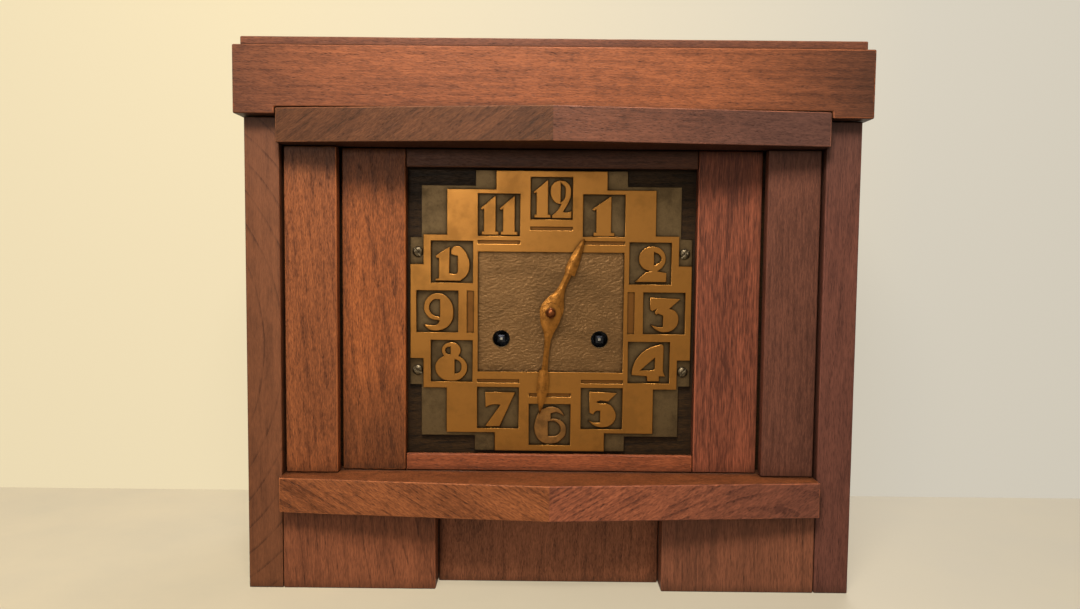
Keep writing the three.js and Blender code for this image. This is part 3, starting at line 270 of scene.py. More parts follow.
OAK_GRAIN = grain_group()
GRAIN_TURN = {"x": (0, math.pi / 2, 0), "y": (math.pi / 2, 0, 0), "z": (0, 0, 0)}
RING_TURN = 2 * math.pi / 20
CORNER_DUST_AND_SHADE = shade(38, 26, 17)
CORNER_SHADE_REACH = 9 * MM


def oak(name, along, seed, late, early, figure=0.2, flecks=0.5, pores=0.8, slant=0.0, pith=(0.05, 0.16),
        spacing=3.4, tilt=0.06, lean=0.04, length=1.0, ring_start=0.5, shine=0.2, pore=shade(58, 30, 18),
        ends=None, fade="X", about=0.0, rub_and_highlight=0.85):
    """A finish of oak whose grain runs along one axis, slanted in the front plane.

    The seed picks its own part of the tree, and late and early are the tones of its late and early wood.
    Ends gives the two distances from a place on the fade axis between which the tones become another pair."""
    material, tree, out = blank(name)
    where = put(tree, "ShaderNodeTexCoord").outputs["Object"]

    def moved(vector, **change):
        return put(tree, "ShaderNodeMapping", {"Vector": vector, **change}).outputs[0]

    level = moved(where, Rotation=(0, slant, 0))
    along_z = moved(level, Rotation=GRAIN_TURN[along], Location=(seed * 0.37, seed * 0.71, seed * 1.3),
                    Scale=(1, 1, 1 / length))
    turned = moved(level, Rotation=GRAIN_TURN[along])
    ring_scale = RING_TURN / (spacing * MM)
    rings = moved(turned, Location=(pith[0] * ring_scale, pith[1] * ring_scale, seed * 3.1),
                  Rotation=(tilt, lean, 0), Scale=(ring_scale, ring_scale, ring_scale))
    tones = [late, early]
    if ends:
        start, end, *far = ends
        reach = put(tree, "ShaderNodeSeparateXYZ", {0: where}).outputs[fade]
        reach = reckon(tree, "ABSOLUTE", reckon(tree, "SUBTRACT", reach, about))
        share = span(tree, reach, start, end, kind="SMOOTHSTEP")
        tones = [blend(tree, share, *pair) for pair in zip(tones, far)]
    wear_and_painted_light = put(tree, "ShaderNodeAttribute", attribute_name="wear_and_painted_light").outputs["Fac"]
    wood = put(tree, "ShaderNodeGroup", {
        "Along": along_z, "Rings": rings, "Late wood": tones[0], "Early wood": tones[1], "Pore": pore,
        "Figure": figure, "Ring start": ring_start, "Fleck amount": flecks, "Pore amount": pores,
        "Worn and highlit wood": [c * rub_and_highlight for c in late[:3]] + [1], "Wear and painted light": wear_and_painted_light}, node_tree=OAK_GRAIN).outputs
    bump = put(tree, "ShaderNodeBump", {"Height": wood["Height"], "Strength": 0.45, "Distance": 0.4 * MM})
    # Corners and the places between parts are darkened towards a dark brown: dust, and painted shade.
    corner = put(tree, "ShaderNodeAmbientOcclusion", {"Distance": CORNER_SHADE_REACH}, samples=8).outputs["AO"]
    color = blend(tree, span(tree, corner, 0.3, 0.88, least=0.3), CORNER_DUST_AND_SHADE, wood["Color"])
    wax = put(tree, "ShaderNodeBsdfPrincipled", {"Base Color": color, "Roughness": wood["Roughness"],
                                                 "Normal": bump.outputs[0], "Specular IOR Level": shine})
    tree.links.new(wax.outputs[0], out.inputs[0])
    return material


def worked(name, shape):
    """A worked shape as a piece of the scene."""
    mesh = bpy.data.meshes.new(name)
    shape.to_mesh(mesh)
    shape.free()
    made = bpy.data.objects.new(name, mesh)
    scene.collection.objects.link(made)
    return made


ARRIS = 0.8 * MM
ARRIS_ANGLE = 0.2
FACES_DOWN = -0.9
UNEVEN = 0.1 * MM
WAVES_PER_METRE = 55
PLANING_SEED = 5
noise.seed_set(PLANING_SEED)


def sawn(name, outline, axis, low, high, edge=ARRIS, step=12 * MM):
    """A board sawn to an outline square to an axis, its arrises eased and its faces planed by hand.

    Eased arrises are marked to be lightened, for wear and a painted highlight; faces that look down, for
    painted shade."""
    shape = bmesh.new()
    cuts = max(1, round((high - low) / step))
    index = "xyz".index(axis)
    rings = []
    for k in range(cuts + 1):
        level = low + (high - low) * k / cuts
        rings.append([shape.verts.new([*point[:index], level, *point[index:]]) for point in outline])
    shape.faces.new(rings[0])
    shape.faces.new(rings[-1])
    for below, above in zip(rings, rings[1:]):
        for i in range(len(outline)):
            j = (i + 1) % len(outline)
            shape.faces.new([below[i], below[j], above[j], above[i]])
    bmesh.ops.recalc_face_normals(shape, faces=shape.faces)
    sharp = [e for e in shape.edges if e.calc_face_angle(0) > ARRIS_ANGLE]
    wear_and_painted_light = shape.faces.layers.float.new("wear_and_painted_light")
    eased = bmesh.ops.bevel(shape, geom=sharp, offset=edge, segments=3, profile=0.5, affect="EDGES")
    for face in eased["faces"]:
        face[wear_and_painted_light] = 1
    # Faces that look down are marked to be painted dark, a painted shade under the board.
    for face in shape.faces:
        if face.normal.z < FACES_DOWN:
            face[wear_and_painted_light] = -1
    for vert in shape.verts:
        drift = noise.noise_vector(vert.co * WAVES_PER_METRE + Vector((len(name), 0, 0)))
        vert.co += drift * UNEVEN
    for face in shape.faces:
        face.smooth = True
    made = worked(name, shape)
    made.modifiers.new("flat faces", "WEIGHTED_NORMAL")
    return made


def dress(made, body, slot, *finishes):
    """Gives a piece its finishes and the body that it moves with; the name of what it is made of is not used.
    """
    for finish in finishes:
        made.data.materials.append(finish)
    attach(made, body)


def rectangle(low, high, axis):
    """The outline of a box, square to an axis."""
    a, b = [i for i in range(3) if i != "xyz".index(axis)]
    return [(low[a], low[b]), (high[a], low[b]), (high[a], high[b]), (low[a], high[b])]


def oak_board(node, grain, finish, seed, late, early, body="case", slot="oak", edge=ARRIS, **look):
    """A board in the place of its node, sawn along its grain, with a finish of its own."""
    low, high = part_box(node)
    index = "xyz".index(grain)
    made = sawn(node + "_board", rectangle(low, high, grain), grain, low[index], high[index], edge)
    dress(made, body, slot, oak(finish, grain, seed, late, early, **look))
    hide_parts(node)


def coat(node, finish):
    """Gives a piece that keeps its own solid a finish."""
    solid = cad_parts[node]
    solid.data.materials.clear()
    solid.data.materials.append(finish)


SKIN_GAP = 0.01 * MM
SHARP_ANGLE = math.radians(35)


def ease(node, width, segments=2):
    """Softens the arrises of a piece that keeps its own solid."""
    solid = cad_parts[node]
    solid.modifiers.new("one skin", "WELD").merge_threshold = SKIN_GAP
    rounded = solid.modifiers.new("eased arrises", "BEVEL")
    rounded.width = width
    rounded.segments = segments
    rounded.angle_limit = SHARP_ANGLE
    solid.modifiers.new("flat faces", "WEIGHTED_NORMAL")
    for face in solid.data.polygons:
        face.use_smooth = True


oak_board("side_right", "z", "right_side_oak", 2.3, shade(130, 78, 62), shade(80, 46, 38), flecks=0.4,
          length=1.6, pith=(-0.2, 0.02), spacing=7, ring_start=0.7,
          ends=(0.2, 0.29, shade(108, 69, 57), shade(66, 41, 35)), fade="Z")
coat("side_left", oak("left_side_oak", "z", 1.1, shade(148, 90, 57), shade(92, 54, 34), figure=0.45,
                      pith=(0.265, -0.104), spacing=11, tilt=-1.15, lean=0, flecks=0.25, pores=0.3,
                      ring_start=0.84, ends=(0.2, 0.29, shade(126, 78, 53), shade(84, 51, 35)), fade="Z"))
ease("side_left", ARRIS, 3)

# The plinth: two oak foot blocks flush with the stiles, a thin panel set back between them, a rail behind.
# Upright grain, glued to the sides and under the floor board, which carries the movement's panel.
oak_board("foot_left", "z", "left_foot_oak", 3.7, shade(176, 103, 66), shade(99, 55, 35), figure=0.3,
          ring_start=0.75, flecks=0.4, length=1.6)
oak_board("foot_right", "z", "right_foot_oak", 4.9, shade(162, 98, 68), shade(92, 55, 38), figure=0.25,
          ring_start=0.75, flecks=0.35, length=1.8)
oak_board("plinth_front", "z", "plinth_oak", 6.1, shade(196, 118, 77), shade(116, 68, 44))
oak_board("plinth_back", "x", "plinth_back_oak", 7.7, shade(120, 72, 48), shade(80, 46, 30))
oak_board("floor_board", "x", "floor_oak", 8.2, shade(124, 76, 50), shade(82, 48, 31))

# The panel behind the dial: a thin oak board stained almost black, its grain lying across.
# It stands on the floor board, and the dial's screws and the movement's pillars are fixed to it.
coat("front_panel", oak("dark_panel_oak", "x", 9.4, shade(72, 50, 27), shade(30, 20, 10), figure=0.45,
                        pith=(0.03, 0.02), spacing=5, shine=0.1, pore=shade(16, 10, 5)))
ease("front_panel", 0.4 * MM)

# Four upright slats, two on each side, step back towards the dial between the ledge and the upper rail.
# Each is cut from its own oak board, with short dark pores and upright streaks.
# The left slats are painted darker at the top, a painted shadow of the upper rail with dirt; the inner one
# also towards its foot.
oak_board("slat_outer_left", "z", "outer_left_oak", 11.3, shade(188, 108, 60), shade(104, 56, 31),
          ends=(0.225, 0.265, shade(140, 84, 52), shade(78, 45, 27)), fade="Z")
oak_board("slat_inner_left", "z", "inner_left_oak", 12.8, shade(198, 111, 57), shade(104, 55, 28),
          ends=(0.03, 0.1, shade(150, 85, 46), shade(80, 44, 23)), fade="Z", about=0.175)
oak_board("slat_inner_right", "z", "inner_right_oak", 13.6, shade(180, 100, 69), shade(90, 47, 33),
          figure=0.12, flecks=0.55, length=2.2)
oak_board("slat_outer_right", "z", "outer_right_oak", 14.9, shade(124, 75, 57), shade(76, 44, 33), pores=0.5)

# Two thin oak rails lie across above and below the dial, glued between the inner slats.
# The upper one sits deep under the upper rail and is darker.
oak_board("dial_rail_top", "x", "dial_top_oak", 15.2, shade(112, 66, 42), shade(70, 40, 26))
oak_board("dial_rail_bottom", "x", "dial_bottom_oak", 16.4, shade(178, 98, 59), shade(112, 58, 34))

# The upper rail and the ledge: oak bars planed to two flat facets that meet in a keel at the middle.
# The grain slants its own way across each facet, and the top faces are painted darker.
FACES_UP = 0.9
DARKENED = -0.45


def keeled(node, proud, left_finish, right_finish):
    """A bar whose front comes to a keel that stands so far proud of its ends."""
    low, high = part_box(node)
    shoulder = low.y + proud
    outline = [(low.x, shoulder), (0, low.y), (high.x, shoulder),
               (high.x, high.y), (0, high.y), (low.x, high.y)]
    made = sawn(node + "_bar", outline, "z", low.z, high.z, edge=0.7 * MM, step=7 * MM)
    dress(made, "case", "oak", left_finish, right_finish)
    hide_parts(node)
    for face in made.data.polygons:
        face.material_index = int(face.center.x > 0)
        if face.normal.z > FACES_UP:
            made.data.attributes["wear_and_painted_light"].data[face.index].value = DARKENED


keeled("upper_rail", 15 * MM,
       oak("rail_left_oak", "x", 17.1, shade(126, 77, 47), shade(60, 37, 23), figure=0.12, slant=0.6,
           flecks=0.35, pores=1, length=0.6, pore=shade(40, 22, 13), rub_and_highlight=1.2),
       oak("rail_right_oak", "x", 18.3, shade(140, 86, 63), shade(86, 52, 38), slant=-0.04, flecks=0.4,
           length=1.5, ends=(0.02, 0.14, shade(112, 74, 62), shade(72, 46, 39)), rub_and_highlight=1.2))
keeled("ledge", 12.4 * MM,
       oak("ledge_left_oak", "x", 19.6, shade(190, 111, 63), shade(106, 57, 29), slant=-0.55, figure=0.35,
           spacing=1.9, pores=0.95, rub_and_highlight=1.1),
       oak("ledge_right_oak", "x", 20.2, shade(186, 106, 70), shade(106, 57, 39), slant=0.58, figure=0.45,
           spacing=2.2, length=1.7, ends=(0.03, 0.17, shade(150, 90, 68), shade(96, 55, 42)), rub_and_highlight=1.1))

# The frieze: a box of four oak boards round the top of the case, the front one notched over the upper rail.
# Its grain runs across, and a thin top board lies on it, set in a little all round.
NOTCH_ROOM = 0.3 * MM
low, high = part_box("frieze_front")
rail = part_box("upper_rail")[1]
notch_top, notch_half = rail.z + NOTCH_ROOM, rail.x + NOTCH_ROOM
front = sawn("frieze_front_board", [(low.x, low.z), (-notch_half, low.z), (-notch_half, notch_top),
                                    (notch_half, notch_top), (notch_half, low.z), (high.x, low.z),
                                    (high.x, high.z), (low.x, high.z)], "y", low.y, high.y, edge=0.9 * MM)
# The front board is painted darker towards both ends: partly its own tone, partly a painted fall-off of the
# lamp's light.
dress(front, "case", "oak", oak(
    "frieze_oak", "x", 21.4, shade(176, 101, 61), shade(106, 58, 35), slant=-0.03, flecks=0.42,
    pith=(0.04, 0.09), spacing=4.5, tilt=0.04,
    ends=(0.08, 0.23, shade(84, 53, 40), shade(48, 30, 23)), about=-0.01, rub_and_highlight=0.75))
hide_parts("frieze_front")
oak_board("frieze_left", "y", "frieze_left_oak", 22.8, shade(150, 88, 60), shade(104, 58, 40))
oak_board("frieze_right", "y", "frieze_right_oak", 23.5, shade(146, 86, 60), shade(100, 56, 40))
oak_board("frieze_back", "x", "frieze_back_oak", 24.7, shade(140, 82, 56), shade(96, 54, 38))
oak_board("top_board", "x", "top_oak", 25.9, shade(140, 84, 58), shade(96, 56, 40))

# The back door: one dark oak board that fills the back of the case and swings on two hinges.
# Its arrises are rounded, and a turn button on the left side holds it shut.
oak_board("back_door", "z", "door_oak", 26.3, shade(104, 66, 44), shade(66, 40, 27), body="door",
          slot="oak_dark", edge=1.2 * MM, pith=(0.02, 0.08), spacing=6)


# The dial: one brass casting, its stepped relief polished and its sunk ground left dark and grained.
# It has hollows for the twelve numerals, six shallow slots beside them, and holes for the arbors and screws.
def tarnish_group():
    """Cast metal: cloudy tarnish, and small pits that are duller and lower."""
    group, come = new_group("cast metal", {"Where": "Vector", "Bright": "Color", "Tarnish": "Color",
                                           "Cloud size": "Float", "Pit size": "Float", "Gloss": "Float"})
    cloud = speckle(group, come["Where"], come["Cloud size"], 5, 0.62)
    pits = speckle(group, come["Where"], come["Pit size"], 3, 0.7)
    clouded = span(group, cloud, 0.38, 0.72, kind="SMOOTHSTEP")
    dull = reckon(group, "MULTIPLY_ADD", span(group, pits, 0.5, 0.78), 0.55, clouded, clamp=True)
    color = blend(group, dull, come["Bright"], come["Tarnish"])
    rough = reckon(group, "MULTIPLY_ADD", dull, 0.08, come["Gloss"])
    put(group, "NodeGroupOutput", {"Color": color, "Roughness": rough, "Height": pits})
    return group


CAST_METAL = tarnish_group()


def metal(name, bright, tarnish, gloss, cloud=90, pit=1800, metallic=1.0, bump=0.12, polish_and_shade=None, reach=3 * MM,
          stretch=(1, 1, 1)):
    """Cast or rolled metal; given a corner colour, its corners darken to it as caked old polish and painted
    shade.
    """
    material, tree, out = blank(name)
    where = put(tree, "ShaderNodeTexCoord").outputs["Object"]
    drawn_out = put(tree, "ShaderNodeMapping", {"Vector": where, "Scale": stretch}).outputs[0]
    cast = {"Where": drawn_out, "Bright": bright, "Tarnish": tarnish, "Cloud size": cloud, "Pit size": pit,
            "Gloss": gloss}
    skin = put(tree, "ShaderNodeGroup", cast, node_tree=CAST_METAL).outputs
    grit = put(tree, "ShaderNodeBump", {"Height": skin["Height"], "Strength": bump, "Distance": 0.2 * MM})
    color = skin["Color"]
    if polish_and_shade:
        # Painted shade with the caked polish: hollows, corners and the field under the hands are darkened.
        corner = put(tree, "ShaderNodeAmbientOcclusion", {"Distance": reach}, samples=12).outputs["AO"]
        color = blend(tree, span(tree, corner, 0.35, 0.95), polish_and_shade, color)
    body = put(tree, "ShaderNodeBsdfPrincipled", {"Base Color": color, "Metallic": metallic,
                                                  "Roughness": skin["Roughness"], "Normal": grit.outputs[0]})
    tree.links.new(body.outputs[0], out.inputs[0])
    return material


# The dark colour of caked old polish and of painted shade, in the dial's hollows and round the hands.
CAKED_POLISH_AND_SHADE = shade(34, 24, 14)
DIAL_BRASS = metal("dial_brass", shade(146, 100, 48), shade(132, 90, 43), 0.33, cloud=45, pit=90, bump=0,
                   polish_and_shade=CAKED_POLISH_AND_SHADE)
# The slot floors are a darker brass, a painted shade in the shallow grooves.
SHADED_SLOT_BRASS = metal("shaded_slot_brass", shade(112, 74, 37), shade(96, 63, 31), 0.42, cloud=45, pit=90, bump=0,
                   polish_and_shade=CAKED_POLISH_AND_SHADE, reach=1.6 * MM)
# The six is painted darker and greyer: a painted shade of the minute hand that lies over it.
DULL_AND_SHADED_SIX = metal("dull_and_shaded_six_brass", shade(136, 96, 54), shade(104, 74, 43), 0.42, cloud=160, pit=400, bump=0,
                   polish_and_shade=CAKED_POLISH_AND_SHADE)
DIAL_GROUND = metal("dial_ground", shade(94, 77, 54), shade(74, 60, 42), 0.46, cloud=90, pit=620, bump=0.6,
                    polish_and_shade=CAKED_POLISH_AND_SHADE, reach=5 * MM)
DIAL_FIELD = metal("dial_field", shade(116, 87, 57), shade(95, 71, 46), 0.4, cloud=70, pit=1100, bump=0.4,
                   polish_and_shade=CAKED_POLISH_AND_SHADE, stretch=(0.55, 1, 1.1))
low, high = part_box("dial_plate")
DIAL_X, DIAL_Z = (low.x + high.x) / 2, (low.z + high.z) / 2
DIAL_FRONT, DIAL_BACK = low.y, high.y
GROUND = (DIAL_FRONT + DIAL_BACK) / 2


def smooth_all(made):
    """Lets the light run over a piece's rounded edges and keeps its sharp ones."""
    for face in made.data.polygons:
        face.use_smooth = True
    made.modifiers.new("flat faces", "WEIGHTED_NORMAL").keep_sharp = True


def settled(made):
    """The mesh of a piece as its curve or its modifiers give it."""
    bpy.context.view_layer.update()
    mesh = bpy.data.meshes.new_from_object(made.evaluated_get(bpy.context.evaluated_depsgraph_get()))
    mesh.materials.clear()
    return mesh


def pressed(name, contours, front, back, edge, steps=6):
    """A plate whose outline and holes are drawn in millimetres about the dial's middle, with rounded edges.

    A contour is a list of points in X and Z, and a point with a third value is a sharp corner."""
    drawing = bpy.data.curves.new(name, "CURVE")
    drawing.dimensions = "2D"
    drawing.fill_mode = "BOTH"
    drawing.extrude = (back - front) / 2 - edge
    drawing.bevel_depth = edge
    drawing.bevel_resolution = 2
    drawing.offset = -edge
    drawing.resolution_u = steps
    for contour in contours:
        line = drawing.splines.new("BEZIER")
        line.bezier_points.add(len(contour) - 1)
        line.use_cyclic_u = True
        for knot, point in zip(line.bezier_points, contour):
            knot.co = (point[0] * MM, point[1] * MM, 0)
            kind = "VECTOR" if len(point) > 2 else "AUTO"
            knot.handle_left_type = knot.handle_right_type = kind
    drawn = bpy.data.objects.new(name, drawing)
    scene.collection.objects.link(drawn)
    mesh = settled(drawn)
    bpy.data.objects.remove(drawn)
    mesh.name = name
    upright = Matrix.Rotation(math.pi / 2, 4, "X")
    mesh.transform(Matrix.Translation((DIAL_X, (front + back) / 2, DIAL_Z)) @ upright)
    made = bpy.data.objects.new(name, mesh)
    scene.collection.objects.link(made)
    smooth_all(made)
    return made


def stairs(steps):
    """The outline of stepped rectangles that share a middle, from their half widths and half heights."""
    quarter = []
    for i, (x, z) in enumerate(steps):
        quarter += [(x, steps[i - 1][1]) if i else (x, 0), (x, z)]
    quarter = quarter[1:] + [(0, steps[-1][1])]
    quarter = [p for p in quarter if p[0] > 0]
    upper = quarter + [(-x, z) for x, z in reversed(quarter)]
    return [(x, z, 1) for x, z in upper + [(-x, -z) for x, z in upper]]


def pane(x, z, half_x, half_z):
    """The outline of a rectangle about a point."""
    return [(x - half_x, z - half_z, 1), (x + half_x, z - half_z, 1), (x + half_x, z + half_z, 1),
            (x - half_x, z + half_z, 1)]


def ring(x, z, radius, count=16):
    """The outline of a round hole."""
    turns = [2 * math.pi * i / count for i in range(count)]
    return [(x + radius * math.cos(turn), z + radius * math.sin(turn)) for turn in turns]


def dial_piece(made, finish):
    """Makes a piece part of the dial's casting."""
    dress(made, "case", "dial_brass", finish)
    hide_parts("dial_plate")


WINDING = [(-29.5, -16.2), (29.5, -16.2)]
SCREWS = [(x, z) for x in (-79.7, 79.7) for z in (-35.5, 35.5)]
WINDING_HOLE, SCREW_HOLE, ARBOR_HOLE = 4.9, 1.8, 4.5
holes = [ring(x, z, WINDING_HOLE) for x, z in WINDING] + [ring(x, z, SCREW_HOLE, 8) for x, z in SCREWS]
holes += [ring(0, 0, ARBOR_HOLE)]
ground_steps = stairs([(84.4, 44.4), (77.5, 75.2), (45.4, 84.4)])
dial_piece(pressed("dial_ground", [ground_steps] + holes, GROUND, DIAL_BACK, 0.35 * MM), DIAL_GROUND)

HOUR_PLACES = [(0, 67.8), (31.2, 57.8), (59.1, 29.7), (67.8, 0), (59.1, -29.7), (31.2, -57.8), (0, -67.8),
               (-31.2, -57.8), (-59.1, -29.7), (-67.8, 0), (-59.1, 29.7), (-31.2, 57.8)]
HOLLOW_HALF = 12.5
FIELD_X, FIELD_Z = 43.5, 35.9
SLOT_DEPTH = 0.8 * MM
SLOT_LAP = 0.4
ROOTED = GROUND + 0.3 * MM
slots = []
for up in (-1, 1):
    slots += [(0, up * 49.9, HOLLOW_HALF, 1), (up * 48, 0, 2, HOLLOW_HALF)]
    slots += [(x, up * 41.6, HOLLOW_HALF, 1) for x in (-31.2, 31.2)]
slot_floors = [pane(x, z, half_x + SLOT_LAP, half_z + SLOT_LAP) for x, z, half_x, half_z in slots]
dial_piece(pressed("dial_slots", slot_floors, DIAL_FRONT + SLOT_DEPTH, ROOTED, 0.05 * MM), SHADED_SLOT_BRASS)
hollows = [pane(x, z, HOLLOW_HALF, HOLLOW_HALF) for x, z in HOUR_PLACES] + [pane(0, 0, FIELD_X, FIELD_Z)]
hollows += [pane(*slot) for slot in slots]
relief_steps = stairs([(84, 28.3), (76.1, 45.9), (62.1, 72.9), (33.1, 84)])
dial_piece(pressed("dial_relief", [relief_steps] + hollows, DIAL_FRONT, ROOTED, 0.3 * MM), DIAL_BRASS)

# The numerals: heavy rounded figures cast with the dial, each in its hollow and lower than the relief.
# The strokes are broad and the counters narrow leaves; the six is duller, and painted darker as the minute
# hand's shade.
# The list goes round from twelve to eleven, with each figure's outline first and its counters after it.
ONE = [(3.9, 11, 1), (3.9, -9, 1), (5.6, -9.2, 1), (5.9, -11.2, 1), (-6.2, -11.2, 1), (-5.9, -9.2, 1),
       (-4.6, -9, 1), (-4.6, 3.6, 1), (-6, 3, 1), (-6.9, 4, 1), (2.9, 11, 1)]


def redrawn(contour, wide, high, x, z):
    """A contour stretched and moved, whose sharp corners stay sharp."""
    return [(a * wide + x, b * high + z, *sharp) for a, b, *sharp in contour]


FIGURES = [
    [redrawn(ONE, 0.8, 0.97, -5.3, 0),
     [(0, -11, 1), (11.2, -11, 1), (11.4, -6.6, 1), (8.4, -7.5), (6.4, -7.2, 1), (9.2, -2.6), (10.9, 3),
      (9.6, 8.6), (4.9, 10.7), (0.4, 8.8), (-1, 4), (0.6, -0.8), (3.6, -2.8), (5.2, -2.9, 1), (3.6, -5.8),
      (0, -9.4, 1)],
     [(5, 9, 1), (7.2, 6.8), (7.6, 3.8), (7, 0.4), (5, -1.8, 1)]],
    [ONE],
    [[(-9.8, -11.3, 1), (10, -11.3, 1), (10.1, -5.4, 1), (4.4, -4.5, 1), (7.8, -1.6), (9.5, 3.2),
      (7.2, 8.9), (1.1, 11.1), (-5, 8.9), (-7.4, 3.2), (-5.2, -2.2), (0.2, -4.6, 1), (-2.8, -5, 1)],
     [(2.2, 7.6, 1), (5.6, 5.6), (6.6, 3.4), (5.6, 1.2), (2.2, -0.6, 1)]],
    [[(-8.8, 10, 1), (9.9, 9.4, 1), (3.3, 3.2, 1), (6.8, 1.8), (8.9, -3), (6.6, -9), (0.8, -11.4),
      (-5, -9.9), (-8.5, -6.6, 1), (-4.4, -8), (-0.8, -8.2, 1), (-0.8, -1.2, 1), (-3.8, 0.2, 1),
      (-5, -0.8, 1), (-5.9, 0.9), (-4.4, 3.2, 1), (-7.3, 1.6, 1), (-8.8, 2.6, 1)]],
    [[(7.4, 11.4, 1), (8.6, 10.2, 1), (8.5, -4.9, 1), (9.8, -7.9, 1), (6.2, -7.8, 1), (6.2, -10.8, 1),
      (-0.9, -10.8, 1), (-1.2, -7.8, 1), (-10.2, -7.3, 1), (-9.6, -2.8), (-6.7, 3.3), (-1, 8.4)],
     [(-5, -4.3, 1), (3.5, 3.2, 1), (3.5, -3.6, 1), (1.2, -4.3, 1)]],
    [[(-7.5, 10.3, 1), (8.9, 9.6, 1), (3.8, 4.4, 1), (-0.8, 5, 1), (-3.2, 4.1, 1), (-1.6, 3.4), (4, 3),
      (7.6, -0.8), (8.4, -4.8), (5.8, -9.4), (0.4, -11.1), (-5, -9.7), (-8, -6.7, 1), (-4.4, -8.1),
      (-1, -8.1, 1), (-1, -1.2, 1), (-3.3, -1.4), (-5, -3.5, 1), (-7.3, -2.3, 1)]],
    [[(8.7, 5.2, 1), (6, 9.2), (0.6, 10.9), (-5.4, 8.6), (-8.8, 2), (-9.2, -3.2), (-6, -9.5), (0.2, -11.4),
      (6.6, -9.2), (9.7, -3.4), (7.6, 1.9), (3, 3.7), (0.6, 3.6, 1), (0.6, 6.8, 1), (3.4, 7.5), (6.2, 6.6)],
     [(-1, 2.1, 1), (4, 1.5), (6.3, -2.2), (4.4, -6), (-1, -6.7, 1)]],
    [[(-7.8, 9.5, 1), (10, 9.5, 1), (0.9, -11, 1), (-7.8, -11, 1), (1.2, 1.9, 1), (-3.6, 1.8),
      (-7.6, 0.2, 1)]],
    [[(-0.5, 11.2), (-4.8, 9.6), (-6.2, 6.2), (-4.9, 3.2, 1), (-8.6, 0.4), (-10, -3.9), (-7.2, -9.6),
      (-0.5, -11.8), (6.2, -9.6), (9, -3.9), (7.6, 0.4), (3.9, 3.2, 1), (5.2, 6.2), (3.8, 9.6)],
     [(-1, 8.6, 1), (-3.5, 7.7), (-3.9, 5.9), (-2.7, 4.3), (-1, 4, 1)],
     [(1.6, 1.2, 1), (4.6, -0.5), (5.4, -3), (4.3, -6.3), (1.6, -7.4, 1)]],
    [[(0.8, 10.9), (6.6, 7.8), (9.3, 0.4), (7.2, -7.4), (-0.6, -11.2), (-5.8, -10), (-8.3, -7.4, 1),
      (-4.4, -7.9), (-0.4, -7.4), (1, -5.2, 1), (-4.2, -4), (-7.5, -0.6), (-8.2, 3.4), (-5.4, 9)],
     [(1.2, 7.2, 1), (-2.4, 7), (-4.9, 2.6), (-2.6, -1.8), (1.2, -3, 1)]],
    [[(-1.5, 9.2, 1), (-1.7, -6.4, 1), (2.2, -6.6), (3, -5.8, 1), (3, 3.6, 1), (-0.7, 4.6, 1), (-0.9, 6.6),
      (0.4, 8.8), (3.2, 9.6), (6.6, 7.6), (9.4, 2.6), (10.2, -1.8), (8.6, -7.4), (4.6, -10.9, 1),
      (-9.9, -10.9, 1), (-9.9, -9.7, 1), (-8, -9.3, 1), (-8, 2.3, 1), (-9.4, 2.4, 1), (-9.9, 3.8, 1)]],
    [redrawn(ONE, 0.82, 1, -5.2, 0), redrawn(ONE, 0.82, 1, 5.7, 0)],
]
FIGURE_SIZES = [1.04, 1.06, 0.95, 0.97, *[1.02] * 7, 1.04]
FIGURE_X, FIGURE_Z = 0.2, -0.3
NUMERAL_FRONT = GROUND - 1.5 * MM
for hour, (figures, (x, z), size) in enumerate(zip(FIGURES, HOUR_PLACES, FIGURE_SIZES)):
    placed = [redrawn(contour, size, size, x + FIGURE_X, z + FIGURE_Z) for contour in figures]
    dial_piece(pressed(f"numeral_{hour or 12}", placed, NUMERAL_FRONT, ROOTED, 0.4 * MM, 8),
               DULL_AND_SHADED_SIX if hour == 6 else DIAL_BRASS)

# The hammered field: the middle of the casting, struck all over with a fine punch and left dark.
# Each blow leaves a shallow dent, so the light breaks up over it.
DENT_PITCH = 0.42
DENT_DEPTH = 0.16
FIELD_RISE = 0.4
HOLE_RIM = 0.75
FIELD_HOLES = [(*WINDING[0], 5.3), (*WINDING[1], 5.3), (0, 0, 4.7)]


def clear_of_holes(x, z):
    """A point of the field: on the rim if it falls just inside a hole, and none if it falls further in."""
    for hole_x, hole_z, radius in FIELD_HOLES:
        away = Vector((x - hole_x, z - hole_z))
        if away.length < radius:
            on_rim = away.length > radius - HOLE_RIM
            return Vector((hole_x, hole_z)) + away.normalized() * radius if on_rim else None
    return x, z


shape = bmesh.new()
columns, rows = int(2 * FIELD_X / DENT_PITCH), int(2 * FIELD_Z / DENT_PITCH)
grid = {}
for i in range(columns + 1):
    for j in range(rows + 1):
        point = clear_of_holes(-FIELD_X + 2 * FIELD_X * i / columns, -FIELD_Z + 2 * FIELD_Z * j / rows)
        if point is not None:
            x, z = point
            dent = noise.noise(Vector((x * 0.55, z * 1.6, 3.3)))
            dent += 0.6 * noise.noise(Vector((x, z * 2.1, 8.1)))
            y = GROUND - (FIELD_RISE + DENT_DEPTH * dent) * MM
            grid[i, j] = shape.verts.new((DIAL_X + x * MM, y, DIAL_Z + z * MM))
for i in range(columns):
    for j in range(rows):
        around = [grid.get(k) for k in ((i, j), (i + 1, j), (i + 1, j + 1), (i, j + 1))]
        if all(around):
            shape.faces.new(around).smooth = True
dial_piece(worked("dial_field", shape), DIAL_FIELD)


